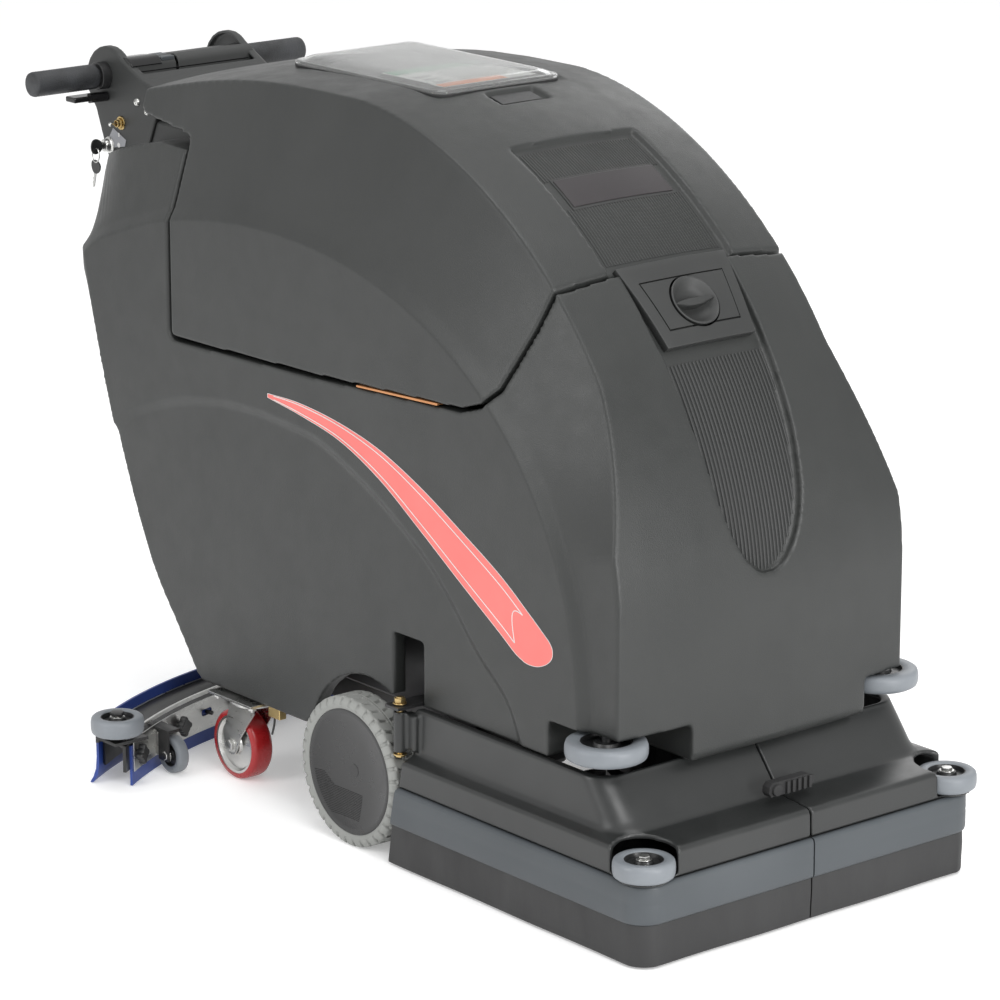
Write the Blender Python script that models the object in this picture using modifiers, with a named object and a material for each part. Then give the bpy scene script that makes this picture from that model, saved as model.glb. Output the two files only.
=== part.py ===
"""Walk-behind floor scrubber with a disc brush, in metres.

The machine stands on the floor at Z = 0 and drives towards -Y, so the operator stands at +Y.
+X is its right side when it is seen from the front. Every Y in this file is measured from the
drive axle. The empty called machine then moves the whole assembly, so that the world origin
is under the middle of its box.
"""

import math

import bmesh
import bpy
from mathutils import Matrix, Vector

# ---- driving dimensions -------------------------------------------------------------------
AXLE_Y = -0.1092            # world Y of the drive axle
GAP = 0.0004                # play between pieces that touch
FORM_HALF_WIDTH = 0.255     # the flat sides of the shell
FLOOR_OF_NOSE = 0.218       # underside of the shell in front of the drive wheels
FLOOR_OF_TAIL = 0.130       # underside of the shell behind the drive wheels
SKIN = 0.006                # wall of the moulded shells

WHEEL_RADIUS = 0.103
WHEEL_INNER = 0.237         # X of the drive wheel's inner and outer faces
WHEEL_OUTER = 0.285
CASTER_RADIUS = 0.050
CASTER_X = 0.224
CASTER_SWIVEL_Y = 0.290
CASTER_TRAIL = 0.026
CASTER_PLATE_TOP = 0.1285

BRUSH_Y = -0.333
BRUSH_RADIUS = 0.247
DECK_LIFT = 0.040

DOOR_PIN = (0.276, -0.104)
DOOR_TOP = 0.2165
BODY_ROLLER = (0.2352, -0.468)
BODY_ROLLER_TOP = 0.261
DOOR_ROLLER = (0.2626, -0.5715)
DOOR_ROLLER_TOP = 0.1400
ROLLER_HEIGHT = 0.024

SQUEEGEE_ARC = 0.70         # radius of the squeegee's curve, seen from above
SQUEEGEE_CREST = 0.545      # Y of the middle of its rear blade
SQUEEGEE_HALF = 0.420
SWING_Y = 0.400             # upright pin that the squeegee swings on
LIFT_HINGE = (0.262, 0.110)  # Y and Z of the squeegee arm's cross pin

HANDLE_Y = 0.781
HANDLE_Z = 0.912
HANDLE_HALF = 0.238
HOUSING_HALF = 0.112

TANK_HINGE_Z = 0.6185
LID_HALF = 0.108
LID_FRONT = 0.022
LID_REAR = 0.345

DARK = (0.075, 0.078, 0.076)
BLACK = (0.02, 0.02, 0.02)
GREY = (0.33, 0.34, 0.35)
PALE = (0.55, 0.56, 0.57)
ZINC = (0.62, 0.62, 0.60)
BLUE = (0.05, 0.09, 0.32)
RED = (0.50, 0.04, 0.05)


# ---- scene and materials ------------------------------------------------------------------
for old in list(bpy.data.objects):
    bpy.data.objects.remove(old)

parts = bpy.data.collections.new("floor_scrubber")
cutters = bpy.data.collections.new("cutters")
bpy.context.scene.collection.children.link(parts)
bpy.context.scene.collection.children.link(cutters)

machine = bpy.data.objects.new("machine", None)
machine.location = (0, AXLE_Y, 0)
parts.objects.link(machine)


def material(name, colour, roughness, metallic=0.0):
    made = bpy.data.materials.new(name)
    made.use_nodes = True
    shader = made.node_tree.nodes["Principled BSDF"]
    shader.inputs["Base Color"].default_value = (*colour, 1)
    shader.inputs["Roughness"].default_value = roughness
    shader.inputs["Metallic"].default_value = metallic
    return made


MOULDED = ("moulded", DARK, 0.55)
TRIM = ("trim", BLACK, 0.45)
RUBBER = ("rubber", BLACK, 0.8)
BAND = ("band", (0.10, 0.11, 0.12), 0.6)
TYRE = ("tyre", PALE, 0.75)
ROLLER = ("roller", GREY, 0.6)
PAINTED = ("painted_steel", (0.06, 0.06, 0.07), 0.5, 0.3)
PLATED = ("plated_steel", ZINC, 0.35, 1.0)
BRASS = ("passivated_steel", (0.55, 0.42, 0.18), 0.4, 1.0)
CLEAR = ("clear", (0.85, 0.86, 0.86), 0.1)
BLADE = ("blade", BLUE, 0.5)
POLYURETHANE = ("polyurethane", RED, 0.35)
BRISTLE = ("bristle", (0.12, 0.12, 0.13), 0.8)


# ---- helpers ------------------------------------------------------------------------------
def add(name, mesh, finish, at=(0, 0, 0)):
    """A named part whose origin is moved to `at` without moving its mesh."""
    part = bpy.data.objects.new(name, mesh)
    mesh.transform(Matrix.Translation(-Vector(at)))
    part.location = at
    part.parent = machine
    mesh.materials.append(material(name + "_" + finish[0], *finish[1:]))
    mesh.shade_smooth()
    mesh.set_sharp_from_angle(angle=math.radians(30))
    parts.objects.link(part)
    return part


def helper(name, mesh):
    """A cutter or a joined-in shape, which isn't a part itself."""
    shape = bpy.data.objects.new(name, mesh)
    shape.parent = machine
    shape.hide_render = True
    shape.display_type = "WIRE"
    cutters.objects.link(shape)
    return shape


def combine(part, operation, *shapes):
    for shape in shapes:
        step = part.modifiers.new(operation.lower() + "_" + shape.name, "BOOLEAN")
        step.operation = operation
        step.object = shape
    return part


def mesh_from(bm, name):
    bmesh.ops.recalc_face_normals(bm, faces=bm.faces)
    mesh = bpy.data.meshes.new(name)
    bm.to_mesh(mesh)
    bm.free()
    return mesh


def box_mesh(name, low, high, bevel=0.0):
    bm = bmesh.new()
    size = [h - l for l, h in zip(low, high)]
    middle = [(h + l) / 2 for l, h in zip(low, high)]
    bmesh.ops.create_cube(bm, size=1, matrix=Matrix.Translation(middle) @ Matrix.Diagonal((*size, 1)))
    if bevel:
        bmesh.ops.bevel(bm, geom=bm.edges, offset=bevel, segments=2, affect="EDGES", profile=0.5)
    return mesh_from(bm, name)


TURN = {
    "X": Matrix.Rotation(math.radians(90), 4, "Y"),
    "Y": Matrix.Rotation(math.radians(-90), 4, "X"),
    "Z": Matrix.Identity(4),
}


def rod_mesh(name, axis, middle, radius, length, sides=16):
    bm = bmesh.new()
    bmesh.ops.create_cone(
        bm, cap_ends=True, segments=sides, radius1=radius, radius2=radius, depth=length,
        matrix=Matrix.Translation(middle) @ TURN[axis],
    )
    return mesh_from(bm, name)


def loft_mesh(name, loops):
    """Closed loops of equal length joined in order, with a cap on the first and the last."""
    bm = bmesh.new()
    rings = [[bm.verts.new(point) for point in loop] for loop in loops]
    count = len(rings[0])
    for one, two in zip(rings, rings[1:]):
        for i in range(count):
            j = (i + 1) % count
            bm.faces.new((one[i], one[j], two[j], two[i]))
    bm.faces.new(rings[0])
    bm.faces.new(list(reversed(rings[-1])))
    return mesh_from(bm, name)


def prism_mesh(name, outline, half):
    """A side-view outline of (Y, Z) points, drawn out between X = -half and X = half."""
    return slab_mesh(name, outline, -half, half)


def slab_mesh(name, outline, x_low, x_high):
    return loft_mesh(name, [[(x, y, z) for y, z in outline] for x in (x_low, x_high)])


def turned(name, finish, axis, middle, profile, steps=32):
    """A turned part. The profile's (radius, height) points run down its outer side."""
    bm = bmesh.new()
    points = [bm.verts.new((radius, 0, height)) for radius, height in profile]
    for one, two in zip(points, points[1:]):
        bm.edges.new((one, two))
    if profile[0][0] > 0:
        bm.edges.new((points[-1], points[0]))
    mesh = bpy.data.meshes.new(name)
    bm.to_mesh(mesh)
    bm.free()
    part = add(name, mesh, finish)
    part.location = middle
    part.rotation_euler = TURN[axis].to_euler()
    spin = part.modifiers.new("turn", "SCREW")
    spin.steps = spin.render_steps = steps
    spin.use_merge_vertices = True
    spin.merge_threshold = 0.0001
    spin.use_smooth_shade = True
    return part


def bar(name, finish, points, radius, resolution=3, at=(0, 0, 0)):
    """A round bar or hose along straight runs between the points, as a mesh."""
    curve = bpy.data.curves.new(name, "CURVE")
    curve.dimensions = "3D"
    curve.bevel_depth = radius
    curve.bevel_resolution = resolution
    curve.use_fill_caps = True
    spline = curve.splines.new("POLY")
    spline.points.add(len(points) - 1)
    for knot, point in zip(spline.points, points):
        knot.co = (*point, 1)
    drawn = bpy.data.objects.new(name + "_curve", curve)
    parts.objects.link(drawn)
    bpy.context.view_layer.update()
    seen = drawn.evaluated_get(bpy.context.evaluated_depsgraph_get())
    mesh = bpy.data.meshes.new_from_object(seen)
    bpy.data.objects.remove(drawn)
    bm = bmesh.new()
    bm.from_mesh(mesh)
    bmesh.ops.remove_doubles(bm, verts=bm.verts, dist=0.00005)
    mesh = mesh_from(bm, name)
    return add(name, mesh, finish, at)


def arc(middle, radius, start, end, count):
    """Points of an arc, from one angle in degrees to another, both ends included."""
    angles = [math.radians(start + (end - start) * i / count) for i in range(count + 1)]
    return [(middle[0] + radius * math.cos(a), middle[1] + radius * math.sin(a)) for a in angles]


def both_sides(make):
    """Calls make(side name, sign) for the left piece (-X) and for the right one (+X)."""
    for side, sign in (("left", -1), ("right", 1)):
        make(side, sign)


# ---- the shell's form ---------------------------------------------------------------------
# Three side-view curves carry the form: the crest line, where the top and front meet the
# sloping flank, the arch, where the flank meets the flat side, and the flat side's own edge.
CREST = dict(middle=(0.10, 0.42), reach=(0.600, 0.565), power=1.8)
ARCH = dict(middle=(0.22, 0.25), reach=(0.672, 0.567), power=2.2)
PANEL = dict(middle=(0.22, 0.25), reach=(0.655, 0.549), power=2.2)
NOSE_STATIONS = 16
CREST_REAR = [(0.20, 0.984), (0.30, 0.979), (0.40, 0.966), (0.50, 0.946), (0.60, 0.922),
              (0.630, 0.905), (0.640, 0.870), (0.673, 0.785), (0.676, 0.712)]
ARCH_REAR = [(0.27, 0.816), (0.32, 0.812), (0.38, 0.804), (0.44, 0.792), (0.50, 0.775),
             (0.55, 0.758), (0.59, 0.742), (0.625, 0.724), (0.652, 0.703)]
PANEL_REAR = [(0.27, 0.798), (0.32, 0.794), (0.38, 0.786), (0.44, 0.775), (0.50, 0.758),
              (0.55, 0.741), (0.59, 0.726), (0.615, 0.712), (0.636, 0.697)]
TAIL = [(0.607, 0.575), (0.563, 0.438), (0.496, 0.285), (0.431, 0.197), (0.386, 0.138)]
UNDERSIDE = [(0.375, FLOOR_OF_TAIL), (0.25, FLOOR_OF_TAIL), (0.136, FLOOR_OF_TAIL)]
ARCH_OVER_WHEEL = arc((0, WHEEL_RADIUS), 0.134, 24, 59, 4)


def nose_curve(middle, reach, power):
    """From the front's lower edge up its wall and over to the top, at even spacing."""
    fine = [(middle[0] - reach[0], FLOOR_OF_NOSE)]
    for i in range(201):
        angle = math.radians(90 * i / 200)
        fine.append((middle[0] - reach[0] * math.cos(angle) ** (2 / power),
                     middle[1] + reach[1] * math.sin(angle) ** (2 / power)))
    lengths = [0.0]
    for one, two in zip(fine, fine[1:]):
        lengths.append(lengths[-1] + math.dist(one, two))
    points = []
    for i in range(NOSE_STATIONS + 1):
        want = lengths[-1] * i / NOSE_STATIONS
        k = max(1, next((n for n, length in enumerate(lengths) if length >= want - 1e-9), len(fine) - 1))
        part = (want - lengths[k - 1]) / (lengths[k] - lengths[k - 1])
        points.append(tuple(a + (b - a) * part for a, b in zip(fine[k - 1], fine[k])))
    return points


def crest_half_width(height):
    """The crest line runs straight up to the shoulder and spreads to the corner below it."""
    if height > 0.70:
        return 0.192
    return 0.192 + 0.053 * min(1.0, (0.70 - height) / 0.20) ** 1.2


def moved_in(outline, depth):
    """The closed outline with each corner moved inwards by about depth."""
    count = len(outline)
    moved = []
    for i in range(count):
        before = Vector(outline[i - 1])
        here = Vector(outline[i])
        after = Vector(outline[(i + 1) % count])
        along = (here - before).normalized() + (after - here).normalized()
        along.normalize()
        moved.append((here.x + along.y * depth, here.y - along.x * depth))
    return moved


def form_mesh(name, depth=0.0, below=0.0):
    """The whole shell's solid, moved in by depth, with its underside lowered by below."""
    lower = TAIL + UNDERSIDE + ARCH_OVER_WHEEL
    crest = moved_in(nose_curve(**CREST) + CREST_REAR + lower, depth)
    crown = moved_in(nose_curve(**CREST) + CREST_REAR + lower, depth - 0.012)
    arch = moved_in(nose_curve(**ARCH) + ARCH_REAR + lower, depth)
    panel = moved_in(nose_curve(**PANEL) + PANEL_REAR + lower, depth)
    last_top = NOSE_STATIONS + len(CREST_REAR)
    underside = last_top + len(TAIL)

    def ring(outline, width_of, sign):
        loop = []
        for i, (y, z) in enumerate(outline):
            if i > underside or i == 0:
                z = (FLOOR_OF_NOSE if i == 0 else (TAIL + UNDERSIDE + ARCH_OVER_WHEEL)[i - last_top - 1][1]) - below
            loop.append((sign * (width_of(i) - depth), y, z))
        return loop

    def crest_width(i):
        if i > last_top:
            return 0.236
        return crest_half_width(crest[i][1])

    def flat_width(_):
        return FORM_HALF_WIDTH

    def arch_width(i):
        return FORM_HALF_WIDTH - (0.010 if i <= last_top else 0.004)

    middle = [(0, y, z) for _, y, z in ring(crown, crest_width, 1)]
    half_crown = []
    for (_, y, z), (x, y2, z2) in zip(middle, ring(crest, crest_width, 1)):
        half_crown.append((x * 0.55, y + (y2 - y) * 0.3, z + (z2 - z) * 0.3))
    loops = []
    for sign in (-1, 1):
        side = [ring(panel, flat_width, sign), ring(arch, arch_width, sign), ring(crest, crest_width, sign),
                [(sign * x, y, z) for x, y, z in half_crown]]
        loops.append(side)
    return loft_mesh(name, loops[0] + [middle] + list(reversed(loops[1])))


# The recovery tank's outline in side view. The seam under it climbs in front of the arch.
TANK_SEAM = [(0.428, 0.6125), (0.10, 0.6210), (-0.205, 0.6350), (-0.245, 0.6480), (-0.268, 0.6700),
             (-0.300, 0.7500), (-0.318, 0.8100), (-0.345, 0.9000)]
TANK_ABOVE = [(-0.345, 1.10), (0.612, 1.10), (0.612, 0.895), (0.600, 0.888), (0.428, 0.888)]


def tank_outline(spread):
    """The tank's side view, grown by spread towards the body."""
    return moved_in(TANK_SEAM + TANK_ABOVE, -spread)


def nose_point(across, y, lift=0.0):
    """A point on the shell's crest surface above or in front of Y, raised by lift."""
    (cy, cz), (ry, rz), power = CREST["middle"], CREST["reach"], CREST["power"]
    share = (cy - y) / ry
    z = cz + rz * (1 - share ** power) ** (1 / power)
    grade_y = power * share ** (power - 1) / ry
    grade_z = power * ((z - cz) / rz) ** (power - 1) / rz
    normal = Vector((0, -grade_y, grade_z)).normalized()
    crown = 0.012 * (1 - (across / 0.192) ** 2)
    return Vector((across, y, z)) + normal * (crown + lift), normal


# ---- moulded shells -----------------------------------------------------------------------
def lower_body():
    body = add("lower_body", form_mesh("lower_body"), MOULDED)
    hollow = helper("body_hollow", form_mesh("body_hollow", SKIN, 0.05))
    tank_space = helper("tank_space", prism_mesh("tank_space", tank_outline(0.0015), 0.4))
    combine(body, "DIFFERENCE", hollow)
    # The solution tank's floor and its wall behind, over the brush motor.
    skin_middle = helper("skin_middle", form_mesh("skin_middle", SKIN / 2))
    tank_floor = helper("solution_tank_floor",
                        box_mesh("solution_tank_floor", (-0.3, -0.6, 0.440), (0.3, -0.232, 0.446)))
    tank_wall = helper("solution_tank_wall",
                       box_mesh("solution_tank_wall", (-0.3, -0.238, 0.441), (0.3, -0.232, 0.70)))
    for plate in (tank_floor, tank_wall):
        combine(plate, "INTERSECT", skin_middle)
    combine(body, "UNION", tank_floor, tank_wall)
    combine(body, "DIFFERENCE", tank_space)
    # The filler hole under the cap.
    point, normal = nose_point(0, -0.352)
    hole = rod_mesh("filler_hole", "Z", (0, 0, 0), 0.036, 0.06)
    hole.transform(Matrix.Translation(point) @ normal.to_track_quat("Z", "Y").to_matrix().to_4x4())
    combine(body, "DIFFERENCE", helper("filler_hole", hole))
    # Slots for the door hinges, and notches for the rollers on the front corners.
    for side, sign in (("left", -1), ("right", 1)):
        edges = sorted((sign * 0.30, sign * 0.225))
        slot = box_mesh("hinge_slot_" + side, (edges[0], -0.122, 0.19), (edges[1], -0.060, 0.306))
        inner = 0.127 if sign < 0 else 0.176
        edges = sorted((sign * 0.30, sign * inner))
        notch = box_mesh("notch_" + side, (edges[0], -0.60, 0.19), (edges[1], -0.378, 0.266))
        combine(body, "DIFFERENCE", helper("hinge_slot_" + side, slot), helper("notch_" + side, notch))
        # A shelf closes the notch's top and carries the roller's pin.
        edges = sorted((sign * 0.249, sign * (inner - 0.004)))
        shelf = box_mesh("shelf_" + side, (edges[0], -0.4955, 0.2665), (edges[1], -0.374, 0.2725))
        pin = rod_mesh("pin_" + side, "Z", (sign * BODY_ROLLER[0], BODY_ROLLER[1], 0.2500), 0.006, 0.044)
        nut = rod_mesh("pin_head_" + side, "Z", (sign * BODY_ROLLER[0], BODY_ROLLER[1], 0.2305), 0.010,
                       0.006, 6)
        shelf_part = helper("shelf_" + side, shelf)
        combine(shelf_part, "INTERSECT", skin_middle)
        combine(shelf_part, "UNION", helper("pin_" + side, pin), helper("pin_head_" + side, nut))
        combine(body, "UNION", shelf_part)


def recovery_tank():
    tank = add("recovery_tank", form_mesh("recovery_tank"), MOULDED,
               at=(-FORM_HALF_WIDTH, 0, TANK_HINGE_Z))
    outer = helper("tank_outer", prism_mesh("tank_outer", tank_outline(-0.0015), 0.4))
    combine(tank, "INTERSECT", outer)
    hollow = helper("tank_hollow", form_mesh("tank_hollow", SKIN))
    inside = helper("tank_inside", prism_mesh("tank_inside", tank_outline(-0.0015 - SKIN), 0.4))
    combine(hollow, "INTERSECT", inside)
    mouth = box_mesh("tank_mouth", (-0.094, LID_FRONT + 0.016, 0.93), (0.094, LID_REAR - 0.016, 1.05))
    seat = box_mesh("lid_seat", (-LID_HALF - 0.004, LID_FRONT - 0.004, 0.9845),
                    (LID_HALF + 0.004, LID_REAR + 0.004, 1.05))
    finger = plate_on_nose("finger_recess", 0.010, -0.026, 0.042, 0.042, -0.0035, 0.020)
    combine(tank, "DIFFERENCE", helper("tank_mouth", mouth), helper("lid_seat", seat), hollow,
            helper("finger_recess", finger))


def lid_pieces():
    """The clear lid on its gasket, over the tank's mouth."""
    low, high = 0.9850, 0.9875
    frame = box_mesh("lid_gasket", (-LID_HALF, LID_FRONT, low), (LID_HALF, LID_REAR, high))
    gasket = add("lid_gasket", frame, RUBBER)
    opening = box_mesh("gasket_opening", (-0.096, LID_FRONT + 0.012, low - 0.01),
                       (0.096, LID_REAR - 0.012, high + 0.01))
    combine(gasket, "DIFFERENCE", helper("gasket_opening", opening))
    base = high + GAP
    loops = []
    for inset, height in ((0, base), (0, base + 0.006), (0.010, base + 0.012), (0.030, base + 0.016)):
        x, front, rear = LID_HALF - inset, LID_FRONT + inset, LID_REAR - inset
        loops.append([(-x, front, height), (x, front, height), (x, rear, height), (-x, rear, height)])
    lid = add("clear_lid", loft_mesh("clear_lid", loops), CLEAR, at=(0, LID_REAR, base))
    under = []
    for inset, height in ((0.004, base - 0.01), (0.004, base + 0.005), (0.012, base + 0.009), (0.030,
                                                                                               base + 0.012)):
        x, front, rear = LID_HALF - inset, LID_FRONT + inset, LID_REAR - inset
        under.append([(-x, front, height), (x, front, height), (x, rear, height), (-x, rear, height)])
    combine(lid, "DIFFERENCE", helper("lid_under", loft_mesh("lid_under", under)))


def plate_on_nose(name, y_top, y_bottom, half_top, half_bottom, low, high):
    """A mesh that follows the shell's nose between two Y positions and two heights over it."""
    loops = []
    steps = 4
    for i in range(steps + 1):
        y = y_top + (y_bottom - y_top) * i / steps
        half = half_top + (half_bottom - half_top) * i / steps
        loops.append([tuple(nose_point(x, y, lift)[0])
                      for x, lift in ((-half, low), (0, low), (half, low), (half, high), (0, high),
                                      (-half, high))])
    return loft_mesh(name, loops)


def nose_plates():
    badge = plate_on_nose("badge_plate", -0.180, -0.222, 0.084, 0.084, 0.0006, 0.0024)
    add("badge_plate", badge, TRIM)
    plate = plate_on_nose("filler_plate", -0.312, -0.387, 0.088, 0.074, 0.0006, 0.0050)
    cover = add("filler_plate", plate, MOULDED)
    point, normal = nose_point(0, -0.352)
    tilt = normal.to_track_quat("Z", "Y").to_matrix().to_4x4()
    hole = rod_mesh("plate_hole", "Z", (0, 0, 0), 0.0375, 0.06)
    hole.transform(Matrix.Translation(point) @ tilt)
    combine(cover, "DIFFERENCE", helper("plate_hole", hole))
    cap = turned("filler_cap", MOULDED, "Z", point,
                 [(0, 0.0135), (0.043, 0.0125), (0.049, 0.009), (0.049, 0.0066), (0.033, 0.0066), (0.033,
                                                                                                   -0.022),
                  (0, -0.022)], 24)
    cap.rotation_euler = tilt.to_euler()
    grip = helper("cap_grip", box_mesh("cap_grip", (-0.040, -0.006, 0.010), (0.040, 0.006, 0.022), 0.003))
    grip.matrix_local = Matrix.Translation(point) @ tilt
    combine(cap, "UNION", grip)


# ---- chassis and drive --------------------------------------------------------------------
def chassis():
    tray = box_mesh("chassis_frame", (-0.150, -0.200, 0.1700), (0.150, 0.345, 0.1760))
    frame = add("chassis_frame", tray, PAINTED)
    pieces = []
    for side, sign in (("left", -1), ("right", 1)):
        low, high = sorted((sign * 0.150, sign * 0.120))
        pieces.append(box_mesh("rail_" + side, (low, -0.200, 0.1310), (high, 0.345, 0.1705)))
        low, high = sorted((sign * 0.121, sign * 0.149))
        pieces.append(box_mesh("jacking_pad_" + side, (low, 0.150, 0.1250), (high, 0.190, 0.1315)))
        low, high = sorted((sign * 0.1495, sign * 0.244))
        pieces.append(box_mesh("caster_wing_" + side, (low, 0.236, 0.1290), (high, 0.345, 0.1350)))
        low, high = sorted((sign * 0.1495, sign * 0.290))
        pieces.append(box_mesh("hinge_wing_" + side, (low, -0.118, 0.2190), (high, -0.090, 0.2230)))
        low, high = sorted((sign * 0.1495, sign * 0.160))
        pieces.append(box_mesh("hinge_web_" + side, (low, -0.118, 0.1400), (high, -0.090, 0.2225)))
    pieces.append(box_mesh("arm_bracket", (-0.050, 0.240, 0.0980), (-0.036, 0.280, 0.1705)))
    pieces.append(box_mesh("arm_bracket_2", (0.036, 0.240, 0.0980), (0.050, 0.280, 0.1705)))
    for mesh in pieces:
        combine(frame, "UNION", helper(mesh.name, mesh))
    for side, sign in (("left", -1), ("right", 1)):
        hole = rod_mesh("hinge_hole_" + side, "Z", (sign * DOOR_PIN[0], DOOR_PIN[1], 0.22), 0.0054, 0.02,
                        16)
        combine(frame, "DIFFERENCE", helper("hinge_hole_" + side, hole))
    pivot = rod_mesh("arm_pivot_hole", "X", (0, LIFT_HINGE[0], LIFT_HINGE[1]), 0.0066, 0.2, 16)
    combine(frame, "DIFFERENCE", helper("arm_pivot_hole", pivot))


def batteries_and_motors():
    for side, sign in (("left", -1), ("right", 1)):
        low, high = sorted((sign * 0.004, sign * 0.178))
        battery = add("battery_" + side, box_mesh("battery_" + side, (low, -0.080, 0.1765), (high, 0.250,
                                                                                             0.405), 0.004),
                      TRIM)
        middle = (low + high) / 2
        for end, y in (("front", -0.055), ("rear", 0.225)):
            post = rod_mesh("post_%s_%s" % (side, end), "Z", (middle, y, 0.411), 0.009, 0.016, 12)
            combine(battery, "UNION", helper("post_%s_%s" % (side, end), post))
    turned("vacuum_motor", PLATED, "Z", (0, 0.345, 0.300),
           [(0, 0.150), (0.030, 0.150), (0.030, 0.130), (0.070, 0.122), (0.070, 0.050), (0.055, 0.045),
            (0.055, -0.040), (0.020, -0.046), (0, -0.046)], 24)
    gearbox = add("transaxle", box_mesh("transaxle", (-0.060, -0.050, 0.055), (0.060, 0.055, 0.1300),
                                        0.008), PAINTED)
    tube = rod_mesh("axle_tube", "X", (0, 0, WHEEL_RADIUS), 0.020, 0.440)
    stub = rod_mesh("axle_stub", "X", (0, 0, WHEEL_RADIUS), 0.0095, 2 * (WHEEL_OUTER - 0.012), 16)
    motor = rod_mesh("drive_motor", "Y", (0, 0.115, 0.094), 0.036, 0.130)
    seat_left = box_mesh("axle_seat_left", (-0.148, -0.022, 0.1000), (-0.122, 0.022, 0.1306))
    seat_right = box_mesh("axle_seat_right", (0.122, -0.022, 0.1000), (0.148, 0.022, 0.1306))
    for mesh in (tube, stub, motor, seat_left, seat_right):
        combine(gearbox, "UNION", helper(mesh.name, mesh))


def drive_wheel(side, sign):
    width = WHEEL_OUTER - WHEEL_INNER
    half = width / 2
    middle = (sign * (WHEEL_INNER + half), 0, WHEEL_RADIUS)
    turned("drive_tyre_" + side, TYRE, "X", middle,
           [(0.086, half), (0.097, half), (0.103, half - 0.008), (0.103, -half + 0.008), (0.097, -half),
            (0.086, -half)],
           32)
    rim = turned("drive_hub_" + side, TRIM, "X", middle,
                 [(0.0100, 0.006), (0.030, 0.006), (0.075, 0.014), (0.0855, 0.017), (0.0855, -0.017),
                  (0.070, -0.014),
                  (0.030, -0.020), (0.0100, -0.020)], 24)
    if sign < 0:
        # The dished face looks outwards on both sides.
        rim.rotation_euler = TURN["X"].to_3x3().to_4x4().to_euler()
        rim.rotation_euler.rotate_axis("X", math.pi)


def caster(side, sign):
    x, y = sign * CASTER_X, CASTER_SWIVEL_Y
    top = CASTER_PLATE_TOP
    plate = add("caster_plate_" + side,
                box_mesh("caster_plate_" + side, (x - 0.042, y - 0.050, top - 0.004), (x + 0.042,
                                                                                       y + 0.050, top)),
                PLATED)
    stem = rod_mesh("caster_stem_" + side, "Z", (x, y, top - 0.0065), 0.010, 0.009, 16)
    combine(plate, "UNION", helper("caster_stem_" + side, stem))
    crown = add("caster_fork_" + side,
                rod_mesh("caster_fork_" + side, "Z", (x, y, 0.1185), 0.031, 0.008, 24), PLATED, at=(x, y,
                                                                                                    0.1185))
    wheel_y = y + CASTER_TRAIL
    leg = [(y - 0.026, 0.1200), (y + 0.026, 0.1200), (wheel_y + 0.014, 0.0500), (wheel_y + 0.010, 0.0400),
           (wheel_y - 0.010, 0.0400), (wheel_y - 0.014, 0.0500)]
    for place, edge in (("inner", -0.0205), ("outer", 0.0180)):
        shape = slab_mesh("fork_leg_%s_%s" % (place, side), leg, x + edge, x + edge + 0.0025)
        combine(crown, "UNION", helper(shape.name, shape))
    axle = rod_mesh("caster_axle_" + side, "X", (x, wheel_y, CASTER_RADIUS), 0.005, 0.052, 12)
    socket = rod_mesh("caster_socket_" + side, "Z", (x, y, 0.1190), 0.0106, 0.0200, 16)
    combine(crown, "UNION", helper(axle.name, axle))
    combine(crown, "DIFFERENCE", helper(socket.name, socket))
    turned("caster_wheel_" + side, POLYURETHANE, "X", (x, wheel_y, CASTER_RADIUS),
           [(0.0055, 0.0165), (0.046, 0.0155), (0.050, 0.010), (0.050, -0.010), (0.046, -0.0155), (0.0055,
                                                                                                   -0.0165)],
           24)


# ---- brush deck ---------------------------------------------------------------------------
def brush_deck():
    deck = add("brush_deck", box_mesh("brush_deck", (-0.110, BRUSH_Y - 0.105, 0.0860), (0.110, -0.215,
                                                                                        0.0910)),
               PAINTED)
    for side, sign in (("left", -1), ("right", 1)):
        low, high = sorted((sign * 0.085, sign * 0.091))
        arm = box_mesh("deck_arm_" + side, (low, -0.225, 0.0865), (high, -0.120, 0.1180))
        combine(deck, "UNION", helper(arm.name, arm))
    hole = rod_mesh("deck_hole", "Z", (0, BRUSH_Y, 0.09), 0.030, 0.02)
    combine(deck, "DIFFERENCE", helper("deck_hole", hole))
    turned("brush_motor", PAINTED, "Z", (0, BRUSH_Y, 0.0915 + 0.110),
           [(0, 0.165), (0.020, 0.165), (0.060, 0.158), (0.078, 0.150), (0.078, -0.060), (0.090, -0.065),
            (0.090, -0.110), (0, -0.110)], 24)
    turned("brush_disc", BRISTLE, "Z", (0, BRUSH_Y, 0.040),
           [(0, 0.044), (0.026, 0.044), (0.026, 0.022), (0.238, 0.020), (0.244, 0.006), (BRUSH_RADIUS,
                                                                                         -0.0385),
            (0.120, -0.0385), (0.114, 0.004), (0, 0.004)], 28)


# ---- splash doors -------------------------------------------------------------------------
# Each row is a point of the door's section: X of its side, Y of its front, Z, corner radius.
DOOR_SECTION = [
    (0.2620, -0.4850, DOOR_TOP, 0.030), (0.2640, -0.5330, 0.1560, 0.034), (0.2835, -0.5900, 0.1500, 0.030),
    (0.2860, -0.5930, 0.1420, 0.030), (0.2860, -0.5950, 0.1125, 0.030),
    (0.2800, -0.5890, 0.1125, 0.026), (0.2800, -0.5870, 0.1400, 0.026), (0.2780, -0.5840, 0.1445, 0.026),
    (0.2580, -0.5270, 0.1500, 0.030), (0.2560, -0.4800, DOOR_TOP, 0.026),
]
BAND_SECTION = [(0.2865, -0.5955, 0.1118, 0.030), (0.2925, -0.6000, 0.1060, 0.032), (0.2925, -0.6000,
                                                                                     0.0600, 0.032),
                (0.2885, -0.5965, 0.0590, 0.030), (0.2835, -0.5925, 0.0590, 0.028), (0.2835, -0.5925,
                                                                                     0.1118, 0.028)]
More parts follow.
